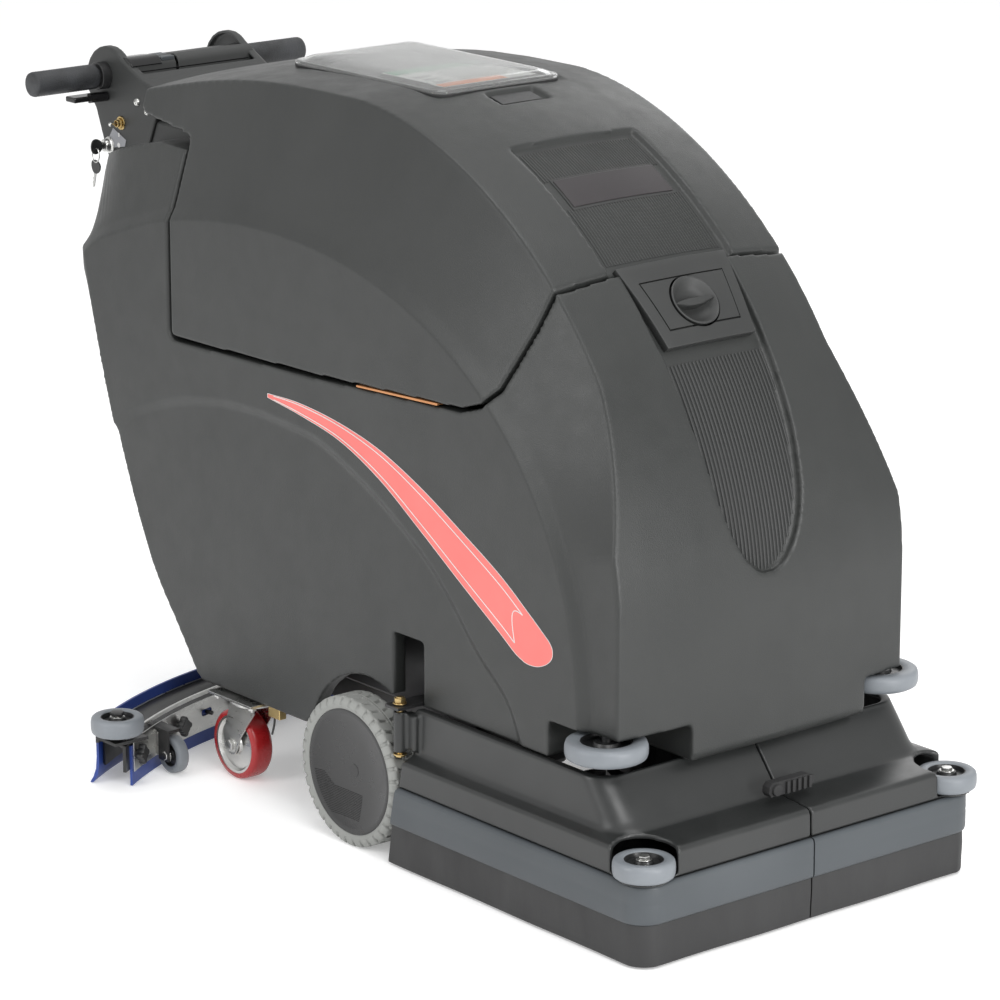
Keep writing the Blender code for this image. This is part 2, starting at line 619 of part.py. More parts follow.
SKIRT_SECTION = [(0.2830, -0.5920, 0.1118, 0.028), (0.2830, -0.5920, 0.0586, 0.028), (0.2880, -0.5960,
                                                                                      0.0586, 0.030),
                 (0.2880, -0.5965, 0.0080, 0.030), (0.2860, -0.5950, 0.0030, 0.030),
                 (0.2800, -0.5890, 0.0030, 0.026), (0.2780, -0.5870, 0.0500, 0.026), (0.2790, -0.5880,
                                                                                      0.1118, 0.026)]


def door_rear(height):
    """Y of the door's rear edge, which leans away from the tyre."""
    if height > 0.155:
        return -0.118
    return -0.085 - 0.036 * height / 0.155


def door_loft(name, section, sign):
    """The section swept along a door's side, round its corner and to the middle of the front."""
    stations = 5
    loops = []
    for step in range(stations + 3):
        loop = []
        for x, y, z, radius in section:
            if step == 0:
                place = (x, door_rear(z))
            elif step == stations + 2:
                place = (0.0012, y)
            else:
                angle = math.radians(90 * (step - 1) / stations)
                place = (x - radius + radius * math.cos(angle), y + radius - radius * math.sin(angle))
            loop.append((sign * place[0], place[1], z))
        loops.append(loop)
    return loft_mesh(name, loops)


def splash_door(side, sign):
    hinge = (sign * DOOR_PIN[0], DOOR_PIN[1], 0)
    door = add("splash_door_" + side, door_loft("splash_door_" + side, DOOR_SECTION, sign), MOULDED,
               at=hinge)
    barrel = rod_mesh("barrel_" + side, "Z", (*hinge[:2], 0.1860), 0.0085, 0.056, 18)
    low, high = sorted((sign * 0.2570, sign * 0.2720))
    web = box_mesh("barrel_web_" + side, (low, -0.127, 0.1640), (high, -0.1025, 0.2080))
    bore = rod_mesh("barrel_bore_" + side, "Z", (*hinge[:2], 0.1860), 0.0056, 0.10, 16)
    # A round seat at the corner carries the bumper roller's pin, in a hollow in the ledge.
    x, y = sign * DOOR_ROLLER[0], DOOR_ROLLER[1]
    room = rod_mesh("roller_room_" + side, "Z", (x, y, 0.1380), 0.0425, 0.046, 28)
    seat = rod_mesh("roller_seat_" + side, "Z", (x, y, 0.1139), 0.0300, 0.0034, 20)
    pin = rod_mesh("roller_pin_" + side, "Z", (x, y, 0.1270), 0.006, 0.030, 16)
    head = rod_mesh("roller_head_" + side, "Z", (x, y, 0.1425), 0.010, 0.005, 6)
    knuckle = helper(web.name, web)
    combine(knuckle, "UNION", helper(barrel.name, barrel))
    combine(knuckle, "DIFFERENCE", helper(bore.name, bore))
    perch = helper(seat.name, seat)
    combine(perch, "UNION", helper(pin.name, pin), helper(head.name, head))
    combine(door, "DIFFERENCE", helper(room.name, room))
    combine(door, "UNION", perch, knuckle)
    add("bumper_band_" + side, door_loft("bumper_band_" + side, BAND_SECTION, sign), BAND, at=hinge)
    add("door_skirt_" + side, door_loft("door_skirt_" + side, SKIRT_SECTION, sign), RUBBER, at=hinge)
    turned("door_pin_" + side, BRASS, "Z", (*hinge[:2], 0.190),
           [(0, 0.0445), (0.0095, 0.0445), (0.0095, 0.0335), (0.0050, 0.0335), (0.0050, -0.0335), (0.0095,
                                                                                                   -0.0335),
            (0.0095, -0.0390), (0, -0.0390)], 16)


def roller(name, middle, top, radius):
    half = ROLLER_HEIGHT / 2
    return turned(name, ROLLER, "Z", (middle[0], middle[1], top - half),
                  [(0.0066, half - 0.001), (radius - 0.004, half), (radius, half - 0.005), (radius,
                                                                                            -half + 0.005),
                   (radius - 0.004, -half), (0.0066, -half + 0.001)], 20)


def door_latch():
    """The rubber draw latch: it turns on a stud in the left door and hooks on to the right one."""
    x, y, z = -0.030, -0.5500, 0.1720
    outline = [(-0.010, -0.009), (0.062, -0.009), (0.066, -0.004), (0.066, 0.006), (0.058, 0.010),
               (-0.006, 0.011),
               (-0.012, 0.004)]
    loops = [[(x + px, front, z + pz) for px, pz in outline] for front in (y - 0.010, y + 0.004)]
    latch = add("door_latch", loft_mesh("door_latch", loops), RUBBER, at=(x, y, z))
    for i in range(4):
        place = x + 0.026 + 0.010 * i
        rib = box_mesh("latch_rib_%d" % i, (place - 0.002, y - 0.014, z - 0.008), (place + 0.002,
                                                                                   y - 0.008, z + 0.009))
        combine(latch, "UNION", helper(rib.name, rib))


# ---- squeegee -----------------------------------------------------------------------------
def squeegee_band(name, finish, section, at, half=SQUEEGEE_HALF, steps=14):
    """A section of (offset towards the front, Z) swept along the squeegee's curve."""
    loops = []
    limit = math.asin(half / SQUEEGEE_ARC)
    for i in range(steps + 1):
        angle = -limit + 2 * limit * i / steps
        loop = []
        for offset, z in section:
            radius = SQUEEGEE_ARC - offset
            loop.append((radius * math.sin(angle),
                         SQUEEGEE_CREST - SQUEEGEE_ARC + radius * math.cos(angle), z))
        loops.append(loop)
    return add(name, loft_mesh(name, loops), finish, at)


def squeegee():
    swing = (0, SWING_Y, 0.080)
    squeegee_band("squeegee_blade_rear", BLADE,
                  [(0.0000, 0.0740), (0.0035, 0.0740), (0.0035, 0.0180), (-0.0010, 0.0010), (-0.0045,
                                                                                             0.0010),
                   (0.0000, 0.0180)], swing)
    squeegee_band("squeegee_blade_front", BLADE,
                  [(0.0480, 0.0600), (0.0515, 0.0600), (0.0515, 0.0180), (0.0480, 0.0010), (0.0445, 0.0010),
                   (0.0480, 0.0180)], swing, half=0.400)
    frame = squeegee_band("squeegee_frame", PLATED,
                          [(0.0040, 0.0740), (0.0260, 0.0700), (0.0300, 0.0660), (0.0475, 0.0620),
                           (0.0475, 0.0240),
                           (0.0430, 0.0240), (0.0430, 0.0590), (0.0085, 0.0680), (0.0085, 0.0240),
                           (0.0040, 0.0240)],
                          swing, half=0.410)
    pieces = [box_mesh("squeegee_neck", (-0.060, SWING_Y - 0.030, 0.0760), (0.060, 0.535, 0.0820)),
              box_mesh("neck_foot", (-0.055, 0.505, 0.0640), (0.055, 0.533, 0.0770))]
    for side, sign in (("left", -1), ("right", 1)):
        x = sign * 0.385
        low, high = sorted((sign * 0.345, sign * 0.400))
        pieces.append(box_mesh("end_ear_" + side, (low, 0.372, 0.0655), (high, 0.4020, 0.0700)))
        pieces.append(rod_mesh("end_pin_" + side, "Z", (x, 0.388, 0.0880), 0.006, 0.040, 12))
        pieces.append(rod_mesh("end_head_" + side, "Z", (x, 0.388, 0.1075), 0.010, 0.005, 6))
        wheel_x = sign * 0.290
        pieces.append(box_mesh("support_arm_" + side, (wheel_x - 0.0155, 0.382, 0.020),
                               (wheel_x - 0.0125, 0.405, 0.0655)))
        pieces.append(box_mesh("support_tab_" + side, (wheel_x - 0.0155, 0.382, 0.0612),
                               (wheel_x + 0.0050, 0.450, 0.0655)))
        pieces.append(rod_mesh("support_axle_" + side, "X", (wheel_x, 0.3905, 0.0275), 0.005, 0.034, 12))
    for mesh in pieces:
        combine(frame, "UNION", helper(mesh.name, mesh))
    swivel = rod_mesh("swing_hole", "Z", (0, SWING_Y, 0.08), 0.0066, 0.03, 16)
    combine(frame, "DIFFERENCE", helper("swing_hole", swivel))
    for side, sign in (("left", -1), ("right", 1)):
        turned("squeegee_bumper_" + side, ROLLER, "Z", (sign * 0.385, 0.388, 0.0920),
               [(0.0066, 0.0125), (0.030, 0.0125), (0.037, 0.008), (0.037, -0.008), (0.030, -0.0125),
                (0.0066, -0.0125)], 20)
        turned("squeegee_support_wheel_" + side, ROLLER, "X", (sign * 0.290, 0.3905, 0.0275),
               [(0.0056, 0.009), (0.022, 0.009), (0.0270, 0.006), (0.0270, -0.006), (0.022, -0.009),
                (0.0056, -0.009)], 18)


def squeegee_arm():
    y, z = LIFT_HINGE
    arm = add("squeegee_arm", box_mesh("squeegee_arm", (-0.030, y + 0.006, 0.1040), (0.030,
                                                                                     SWING_Y + 0.022,
                                                                                     0.1100)),
              PAINTED, at=(0, y, z))
    tube = rod_mesh("arm_tube", "X", (0, y, z), 0.0105, 0.070, 20)
    pin = rod_mesh("arm_cross_pin", "X", (0, y, z), 0.006, 0.112, 16)
    post = rod_mesh("swing_post", "Z", (0, SWING_Y, 0.0885), 0.006, 0.038, 16)
    foot = rod_mesh("swing_head", "Z", (0, SWING_Y, 0.0715), 0.011, 0.006, 6)
    collar = rod_mesh("swing_collar", "Z", (0, SWING_Y, 0.0945), 0.012, 0.021, 16)
    for mesh in (tube, pin, post, foot, collar):
        combine(arm, "UNION", helper(mesh.name, mesh))


def vacuum_hose():
    """From the squeegee's middle up behind the machine into the recovery tank's rear wall."""
    route = [(0, 0.520, 0.094), (0, 0.524, 0.120), (0.002, 0.540, 0.170), (0.006, 0.570, 0.240), (0.010,
                                                                                                  0.608,
                                                                                                  0.320),
             (0.012, 0.650, 0.400), (0.012, 0.684, 0.470), (0.012, 0.706, 0.540), (0.012, 0.716, 0.600),
             (0.012, 0.7165, 0.660)]
    bar("vacuum_hose", RUBBER, route, 0.0190, 3)


# ---- controls -----------------------------------------------------------------------------
def control_housing():
    ear = arc((0.775, 0.900), 0.0545, 130, -12, 9)
    outline = [(0.648, 0.906), (0.690, 0.9170)] + ear + [(0.806, 0.8600), (0.790, 0.8200), (0.762, 0.7640),
                                                       (0.700, 0.7620), (0.6925, 0.7850), (0.6530, 0.8720)]
    housing = add("control_housing", slab_mesh("control_housing", outline, -HOUSING_HALF, HOUSING_HALF),
                  MOULDED)
    inside = moved_in(outline, 0.004)
    hollow = slab_mesh("housing_hollow", inside, -HOUSING_HALF + 0.004, HOUSING_HALF - 0.004)
    between = box_mesh("between_ears", (-0.090, 0.720, 0.9380), (0.090, 0.86, 1.0))
    window = loft_mesh("panel_window", [[(x, 0.700, 0.9300), (x, 0.7850, 0.7800), (x, 0.86, 0.80), (x,
                                                                                                    0.86,
                                                                                                    0.94),
                                         (x, 0.80, 0.98)] for x in (-0.098, 0.098)])
    bores = rod_mesh("handlebar_bore", "X", (0, HANDLE_Y, HANDLE_Z), 0.0146, 0.4, 24)
    combine(housing, "DIFFERENCE", helper("housing_hollow", hollow), helper("between_ears", between),
            helper("panel_window", window), helper("handlebar_bore", bores))
    switch_z, key_z = 0.8480, 0.8120
    toggle_at = (-HOUSING_HALF, 0.7420, switch_z)
    key_at = (-HOUSING_HALF, 0.7720, key_z)
    for name, place, radius in (("toggle_bore", toggle_at, 0.0060), ("key_bore", key_at, 0.0095)):
        combine(housing, "DIFFERENCE", helper(name, rod_mesh(name, "X", place, radius, 0.03, 16)))
    return toggle_at, key_at


def operator_panel():
    """The sloping plate between the ears, which faces the operator."""
    outline = [(0.7180, 0.9230), (0.7225, 0.9255), (0.7925, 0.8010), (0.7880, 0.7985)]
    plate = add("operator_panel", slab_mesh("operator_panel", outline, -0.0975, 0.0975), TRIM)
    for x in (-0.045, 0.045):
        rocker = box_mesh("rocker_%d" % (x * 1000), (x - 0.012, -0.020, 0.0), (x + 0.012, 0.020, 0.0045),
                          0.001)
        rocker.transform(Matrix.Translation((0, 0.7575, 0.8630)) @ Matrix.Rotation(math.radians(-60.7), 4,
                                                                                   "X"))
        combine(plate, "UNION", helper(rocker.name, rocker))


def handlebar():
    bar("handlebar", PAINTED, [(-0.2300, HANDLE_Y, HANDLE_Z), (0.2300, HANDLE_Y, HANDLE_Z)], 0.0140, 6)
    for side, sign in (("left", -1), ("right", 1)):
        turned("grip_" + side, RUBBER, "X", (sign * 0.1790, HANDLE_Y, HANDLE_Z),
               [(0, 0.0590), (0.0150, 0.0590), (0.0180, 0.0540), (0.0180, -0.0500), (0.0145, -0.0500),
                (0.0145, 0.0520), (0, 0.0520)] if sign > 0 else
               [(0, -0.0520), (0.0145, -0.0520), (0.0145, 0.0500), (0.0180, 0.0500), (0.0180, -0.0540),
                (0.0150, -0.0590), (0, -0.0590)], 24)


def trigger(side, sign):
    """The finger lever under each grip, on a pin in the ear."""
    y, z = HANDLE_Y - 0.004, HANDLE_Z - 0.0300
    low, high = sorted((sign * (HOUSING_HALF + 0.0010), sign * 0.1700))
    lever = add("trigger_" + side, box_mesh("trigger_" + side, (low, y - 0.004, z - 0.0040), (high,
                                                                                              y + 0.0200,
                                                                                              z + 0.0040),
                                            0.002),
                TRIM, at=(sign * 0.140, y, z))
    hub = rod_mesh("trigger_hub_" + side, "X", (sign * (HOUSING_HALF + 0.0155), y, z), 0.0070, 0.0290, 16)
    combine(lever, "UNION", helper(hub.name, hub))


def switches(toggle_at, key_at):
    nut = turned("toggle_nut", PLATED, "X", (toggle_at[0] - 0.0028, *toggle_at[1:]),
                 [(0.0056, 0.0024), (0.0110, 0.0024), (0.0110, -0.0024), (0.0056, -0.0024)], 6)
    nut.rotation_euler.rotate_axis("Z", math.radians(15))
    lever = bar("toggle_lever", PLATED, [(toggle_at[0] + 0.010, *toggle_at[1:]), (toggle_at[0] - 0.018,
                                                                                  *toggle_at[1:])],
                0.0032, 2, at=toggle_at)
    ball = rod_mesh("toggle_tip", "X", (toggle_at[0] - 0.0185, *toggle_at[1:]), 0.0040, 0.006, 12)
    combine(lever, "UNION", helper("toggle_tip", ball))
    turned("key_barrel", TRIM, "X", (key_at[0] - 0.0010, *key_at[1:]),
           [(0.0030, 0.010), (0.0090, 0.010), (0.0090, 0.0004), (0.0130, 0.0004), (0.0130, -0.0080),
            (0.0030, -0.0080)], 20)
    shaft = bar("ignition_key", PLATED, [(key_at[0] - 0.0020, *key_at[1:]), (key_at[0] - 0.0160,
                                                                             *key_at[1:])],
                0.0022, 2, at=key_at)
    x, y, z = key_at
    head = box_mesh("key_head", (x - 0.0340, y - 0.0110, z - 0.0011), (x - 0.0150, y + 0.0110, z + 0.0011))
    combine(shaft, "UNION", helper("key_head", head))


toggle_place, key_place = control_housing()
lower_body()
recovery_tank()
lid_pieces()
nose_plates()
chassis()
batteries_and_motors()
both_sides(drive_wheel)
both_sides(caster)
brush_deck()
both_sides(splash_door)
for side_name, side_sign in (("left", -1), ("right", 1)):
    roller("body_roller_" + side_name, (side_sign * BODY_ROLLER[0], BODY_ROLLER[1]), BODY_ROLLER_TOP,
           0.0530)
    roller("door_roller_" + side_name, (side_sign * DOOR_ROLLER[0], DOOR_ROLLER[1]), DOOR_ROLLER_TOP,
           0.0397)
door_latch()
squeegee()
squeegee_arm()
vacuum_hose()
operator_panel()
handlebar()
both_sides(trigger)
switches(toggle_place, key_place)
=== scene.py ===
import math

import bmesh
import bpy
import numpy as np
from mathutils import Matrix, Vector


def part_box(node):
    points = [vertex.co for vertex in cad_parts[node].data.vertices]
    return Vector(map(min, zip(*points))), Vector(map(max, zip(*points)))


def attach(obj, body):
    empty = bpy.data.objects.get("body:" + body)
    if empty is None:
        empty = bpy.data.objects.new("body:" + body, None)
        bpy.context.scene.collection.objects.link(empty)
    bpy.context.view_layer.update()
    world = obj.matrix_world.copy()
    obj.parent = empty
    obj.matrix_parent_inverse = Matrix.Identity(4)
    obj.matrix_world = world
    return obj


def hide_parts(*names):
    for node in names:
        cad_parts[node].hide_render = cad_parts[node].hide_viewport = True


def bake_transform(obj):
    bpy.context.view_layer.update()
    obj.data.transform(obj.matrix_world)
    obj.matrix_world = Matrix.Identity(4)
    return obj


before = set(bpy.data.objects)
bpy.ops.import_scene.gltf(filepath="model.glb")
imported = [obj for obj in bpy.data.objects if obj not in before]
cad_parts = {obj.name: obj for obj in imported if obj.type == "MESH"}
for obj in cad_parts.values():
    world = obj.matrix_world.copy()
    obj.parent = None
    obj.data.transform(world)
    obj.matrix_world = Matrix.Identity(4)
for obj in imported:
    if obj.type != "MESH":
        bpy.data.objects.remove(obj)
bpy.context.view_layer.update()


# ---- places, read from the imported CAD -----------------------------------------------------
def middle_of(node):
    low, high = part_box(node)
    return (low + high) / 2


AXLE_Y = middle_of("drive_tyre_left").y     # every Y below is measured from the drive axle
SIDES = (("left", -1), ("right", 1))
SKIN = 0.012        # wall of the moulded shells
HALF = 0.255        # half the width of the shells
VOXEL = 0.003
ROUNDS = 4


# ---- small mesh tools ---------------------------------------------------------------------
def obj_from(name, mesh, finish=None, shift=True):
    if shift:
        mesh.transform(Matrix.Translation((0, AXLE_Y, 0)))
    made = bpy.data.objects.new(name, mesh)
    bpy.context.scene.collection.objects.link(made)
    if finish is not None:
        mesh.materials.append(finish)
    return made


def settle(piece, body, node=None):
    """Gives a piece its body and, if it has one, hides the CAD node that it replaces."""
    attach(piece, body)
    if node:
        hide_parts(node)


def circle(steps):
    """Equally spaced angles, once round."""
    return [2 * math.pi * k / steps for k in range(steps)]


def points_of(mesh):
    place = np.empty(len(mesh.vertices) * 3)
    mesh.vertices.foreach_get("co", place)
    return place.reshape(-1, 3)


def set_points(mesh, place):
    mesh.vertices.foreach_set("co", place.ravel())
    mesh.update()


def mesh_of(name, points, faces):
    mesh = bpy.data.meshes.new(name)
    mesh.from_pydata([tuple(p) for p in points], [], faces)
    mesh.validate()
    bm = bmesh.new()
    bm.from_mesh(mesh)
    bmesh.ops.recalc_face_normals(bm, faces=bm.faces)
    bm.to_mesh(mesh)
    bm.free()
    return mesh


def loft(name, loops, closed=False):
    """Faces between equal closed loops, with a cap at each end unless the last joins the first."""
    count = len(loops[0])
    points = [p for loop in loops for p in loop]
    faces = []
    rows = len(loops) if closed else len(loops) - 1
    for i in range(rows):
        one, two = i * count, ((i + 1) % len(loops)) * count
        for j in range(count):
            k = (j + 1) % count
            faces.append((one + j, one + k, two + k, two + j))
    if not closed:
        faces.append(tuple(range(count))[::-1])
        faces.append(tuple(range((len(loops) - 1) * count, len(loops) * count)))
    return mesh_of(name, points, faces)


def box(name, low, high):
    x0, y0, z0 = low
    x1, y1, z1 = high
    return loft(name, [[(x0, y0, z), (x1, y0, z), (x1, y1, z), (x0, y1, z)] for z in (z0, z1)])


TURN = {"X": Matrix.Rotation(math.pi / 2, 4, "Y"), "Y": Matrix.Rotation(-math.pi / 2, 4, "X"),
        "Z": Matrix.Identity(4)}


def turned(name, axis, middle, profile, steps=64, flip=False):
    """A profile of (radius, height) turned round an axis. Its ends may touch the axis."""
    points, faces, rings = [], [], []
    for radius, height in profile:
        if radius < 1e-6:
            rings.append([len(points)])
            points.append((0, 0, height))
            continue
        rings.append(list(range(len(points), len(points) + steps)))
        points += [(radius * math.cos(a), radius * math.sin(a), height) for a in circle(steps)]
    pairs = list(zip(rings, rings[1:]))
    if len(rings[0]) > 1 and len(rings[-1]) > 1:
        pairs.append((rings[-1], rings[0]))
    for one, two in pairs:
        for i in range(steps):
            k = (i + 1) % steps
            if len(one) == 1 and len(two) == 1:
                continue
            if len(one) == 1:
                faces.append((one[0], two[k], two[i]))
            elif len(two) == 1:
                faces.append((one[i], one[k], two[0]))
            else:
                faces.append((one[i], one[k], two[k], two[i]))
    mesh = mesh_of(name, points, faces)
    matrix = TURN[axis].copy()
    if flip:
        matrix = matrix @ Matrix.Rotation(math.pi, 4, "X")
    mesh.transform(Matrix.Translation(Vector(middle)) @ matrix)
    return mesh


def tube(name, path, radius, sides=12, radii=None):
    """A round tube along a path of points."""
    path = [Vector(p) for p in path]
    loops = []
    normal = None
    for i, point in enumerate(path):
        along = (path[min(i + 1, len(path) - 1)] - path[max(i - 1, 0)]).normalized()
        if normal is None:
            normal = along.orthogonal().normalized()
        normal = (normal - along * normal.dot(along)).normalized()
        other = along.cross(normal)
        size = radii[i] if radii else radius
        loops.append([point + (normal * math.cos(a) + other * math.sin(a)) * size for a in circle(sides)])
    return loft(name, loops)


def rod(name, axis, middle, radius, length, sides=32, edge=0.0006):
    half = length / 2
    edge = min(edge, radius * 0.4, half * 0.4)
    return turned(name, axis, middle, [(0, -half), (radius - edge, -half), (radius, -half + edge),
            (radius, half - edge), (radius - edge, half), (0, half)], sides)


def smooth_path(points, per):
    """Catmull-Rom through the points."""
    rows = [np.array(p, float) for p in points]
    rows = [2 * rows[0] - rows[1]] + rows + [2 * rows[-1] - rows[-2]]
    found = []
    for i in range(1, len(rows) - 2):
        a, b, c, d = rows[i - 1:i + 3]
        for k in range(per):
            t = k / per
            found.append(tuple(0.5 * ((2 * b) + (c - a) * t + (2 * a - 5 * b + 4 * c - d) * t * t
                    + (3 * b - a - 3 * c + d) * t ** 3)))
    found.append(tuple(rows[-2]))
    return found


def applied(made):
    """The object with its modifiers applied."""
    graph = bpy.context.evaluated_depsgraph_get()
    mesh = bpy.data.meshes.new_from_object(made.evaluated_get(graph))
    made.modifiers.clear()
    old = made.data
    made.data = mesh
    bpy.data.meshes.remove(old)
    return made


def cut(made, operation, *meshes):
    """Boolean steps with helper meshes, which are removed afterwards."""
    helpers = []
    for mesh in meshes:
        other = mesh if isinstance(mesh, bpy.types.Object) else obj_from("helper", mesh)
        helpers.append(other)
        step = made.modifiers.new("step", "BOOLEAN")
        step.operation, step.object, step.solver = operation, other, "EXACT"
    applied(made)
    for other in helpers:
        bpy.data.objects.remove(other)
    return made


def relaxed(mesh, rounds, shrink=0.5, grow=-0.52):
    """Rounds off a dense mesh's edges while keeping its volume."""
    place = points_of(mesh)
    count = len(place)
    ends = np.empty(len(mesh.edges) * 2, np.int64)
    mesh.edges.foreach_get("vertices", ends)
    a, b = ends[0::2], ends[1::2]
    share = np.bincount(a, minlength=count) + np.bincount(b, minlength=count)
    share = np.maximum(share, 1)
    for _ in range(rounds):
        for factor in (shrink, grow):
            mean = np.empty_like(place)
            for k in range(3):
                mean[:, k] = (np.bincount(a, place[b, k], count) + np.bincount(b, place[a, k],
                        count)) / share
            place = place + (mean - place) * factor
    set_points(mesh, place)


def moulded(made, voxel, rounds, soften=2):
    """Turns sharp solids into one with the rounded edges of a rotational moulding."""
    step = made.modifiers.new("remesh", "REMESH")
    step.mode, step.voxel_size, step.use_smooth_shade = "VOXEL", voxel, True
    applied(made)
    relaxed(made.data, soften, 0.5, 0.0)
    relaxed(made.data, rounds)
    return made


def thinned(made, keep):
    """Fewer faces for a remeshed piece."""
    step = made.modifiers.new("thin", "DECIMATE")
    step.ratio = keep
    applied(made)
    shade(made, 80)
    return made


def shade(made, angle=35):
    made.data.shade_smooth()
    made.data.set_sharp_from_angle(angle=math.radians(angle))
    return made


def bevelled(made, width, segments=3, angle=35):
    """Rounds off the edges with a live bevel."""
    step = made.modifiers.new("edges", "BEVEL")
    step.width, step.segments, step.limit_method = width, segments, "ANGLE"
    step.angle_limit = math.radians(angle)
    step.harden_normals = False
    shade(made, 50)
    return made


def joined(name, meshes, finish):
    """Several meshes as one piece."""
    bm = bmesh.new()
    for mesh in meshes:
        bm.from_mesh(mesh)
        bpy.data.meshes.remove(mesh)
    mesh = bpy.data.meshes.new(name)
    bm.to_mesh(mesh)
    bm.free()
    return obj_from(name, mesh, finish)


# ---- materials ----------------------------------------------------------------------------
class Nodes:
    """A short way to write a material's nodes."""

    def __init__(self, name):
        self.material = bpy.data.materials.new(name)
        self.material.use_nodes = True
        self.tree = self.material.node_tree
        self.shader = self.tree.nodes["Principled BSDF"]
        self.place = self.add("ShaderNodeTexCoord").outputs["Object"]

    def add(self, kind, **values):
        node = self.tree.nodes.new(kind)
        for key, value in values.items():
            if hasattr(node, key):
                setattr(node, key, value)
            else:
                node.inputs[key.replace("_", " ")].default_value = value
        return node

    def link(self, one, two):
        self.tree.links.new(one, two)

    def noise(self, scale, detail=4.0, roughness=0.55, stretch=None):
        node = self.add("ShaderNodeTexNoise", Scale=scale, Detail=detail, Roughness=roughness)
        source = self.place
        if stretch is not None:
            mapping = self.add("ShaderNodeMapping")
            mapping.inputs["Scale"].default_value = stretch
            self.link(source, mapping.inputs["Vector"])
            source = mapping.outputs["Vector"]
        self.link(source, node.inputs["Vector"])
        return node.outputs["Fac"]

    def spread(self, value, low, high, from_low=0.3, from_high=0.7):
        node = self.add("ShaderNodeMapRange")
        node.inputs["From Min"].default_value = from_low
        node.inputs["From Max"].default_value = from_high
        node.inputs["To Min"].default_value = low
        node.inputs["To Max"].default_value = high
        self.link(value, node.inputs["Value"])
        return node.outputs["Result"]

    def mixed(self, value, one, two):
        node = self.add("ShaderNodeMix", data_type="RGBA")
        self.link(value, node.inputs[0])
        for socket, colour in ((node.inputs[6], one), (node.inputs[7], two)):
            socket.default_value = (*colour, 1)
        return node.outputs[2]

    def bump(self, value, strength, distance, before=None):
        node = self.add("ShaderNodeBump")
        node.inputs["Strength"].default_value = strength
        node.inputs["Distance"].default_value = distance
        self.link(value, node.inputs["Height"])
        if before is not None:
            self.link(before, node.inputs["Normal"])
        return node.outputs["Normal"]


def surface(name, colour, wear, rough=(0.45, 0.6), metal=0.0, grain=900.0, bump=0.25, depth=0.0004,
        broad=6.0, stretch=None):
    """A procedural finish: broad and fine colour change, uneven roughness and a bumped grain."""
    n = Nodes(name)
    broad_noise = n.noise(broad, 5.0, 0.6, stretch)
    fine = n.noise(grain, 3.0, 0.6, stretch)
    colour_out = n.mixed(n.spread(broad_noise, 0, 1), colour, wear)
    n.link(colour_out, n.shader.inputs["Base Color"])
    n.link(n.spread(n.noise(broad * 4, 4.0, 0.6, stretch), rough[0], rough[1]),
            n.shader.inputs["Roughness"])
    n.shader.inputs["Metallic"].default_value = metal
    n.link(n.bump(fine, bump, depth), n.shader.inputs["Normal"])
    return n.material


def shell_plastic():
    """Rotationally moulded polyethylene: near black, closely pebbled, with a broad soft sheen."""
    n = Nodes("shell_plastic")
    speck = n.noise(1500.0, 2.0, 0.5)
    cloud = n.noise(5.0, 4.0, 0.6)
    base = n.mixed(n.spread(cloud, 0, 1), (0.0200, 0.0215, 0.0208), (0.0260, 0.0275, 0.0265))
    n.link(base, n.shader.inputs["Base Color"])
    n.link(n.spread(n.noise(30.0, 5.0, 0.6), 0.36, 0.46), n.shader.inputs["Roughness"])
    n.shader.inputs["Specular IOR Level"].default_value = 0.42
    pebble = n.add("ShaderNodeTexVoronoi", Scale=620.0)
    n.link(n.place, pebble.inputs["Vector"])
    first = n.bump(pebble.outputs["Distance"], 0.22, 0.0006)
    second = n.bump(speck, 0.30, 0.0004, first)
    third = n.bump(n.noise(9.0, 2.0, 0.5), 0.12, 0.004, second)
    n.link(third, n.shader.inputs["Normal"])
    return n.material


SHELL = shell_plastic()
PANEL = surface("ribbed_plastic", (0.017, 0.018, 0.0175), (0.023, 0.024, 0.0235), (0.45, 0.58), grain=1300,
        bump=0.2)
TRIM = surface("black_trim", (0.010, 0.0105, 0.011), (0.016, 0.0165, 0.017), (0.32, 0.46), grain=1100,
        bump=0.2)
GLOSS = surface("gloss_trim", (0.006, 0.006, 0.0065), (0.010, 0.010, 0.0105), (0.12, 0.22), grain=500,
        bump=0.05)
BADGE = surface("badge", (0.015, 0.012, 0.0135), (0.020, 0.016, 0.018), (0.30, 0.42), grain=1600, bump=0.15)
RUBBER = surface("black_rubber", (0.010, 0.010, 0.0105), (0.020, 0.020, 0.0205), (0.62, 0.8), grain=700,
        bump=0.3)
SKIRT = surface("skirt_rubber", (0.013, 0.013, 0.0135), (0.024, 0.024, 0.0245), (0.5, 0.7), grain=300,
        bump=0.25, stretch=(1, 1, 0.35))
BAND = surface("bumper_band", (0.040, 0.047, 0.053), (0.060, 0.068, 0.075), (0.44, 0.58), grain=500,
        bump=0.12)
TYRE = surface("pale_tyre", (0.205, 0.210, 0.200), (0.270, 0.275, 0.262), (0.6, 0.8), grain=500, bump=0.35)
ROLLER = surface("grey_roller", (0.145, 0.160, 0.175), (0.190, 0.205, 0.222), (0.36, 0.52), grain=600,
        bump=0.2)
STEEL = surface("painted_steel", (0.011, 0.011, 0.0115), (0.018, 0.018, 0.0185), (0.3, 0.45), metal=0.0,
        grain=400, bump=0.15)
ZINC = surface("plated_steel", (0.62, 0.62, 0.60), (0.50, 0.50, 0.49), (0.22, 0.42), metal=1.0, grain=250,
        bump=0.08, stretch=(1, 1, 4))
BRASS = surface("yellow_plating", (0.58, 0.44, 0.20), (0.44, 0.32, 0.15), (0.25, 0.42), metal=1.0,
        grain=250, bump=0.1)
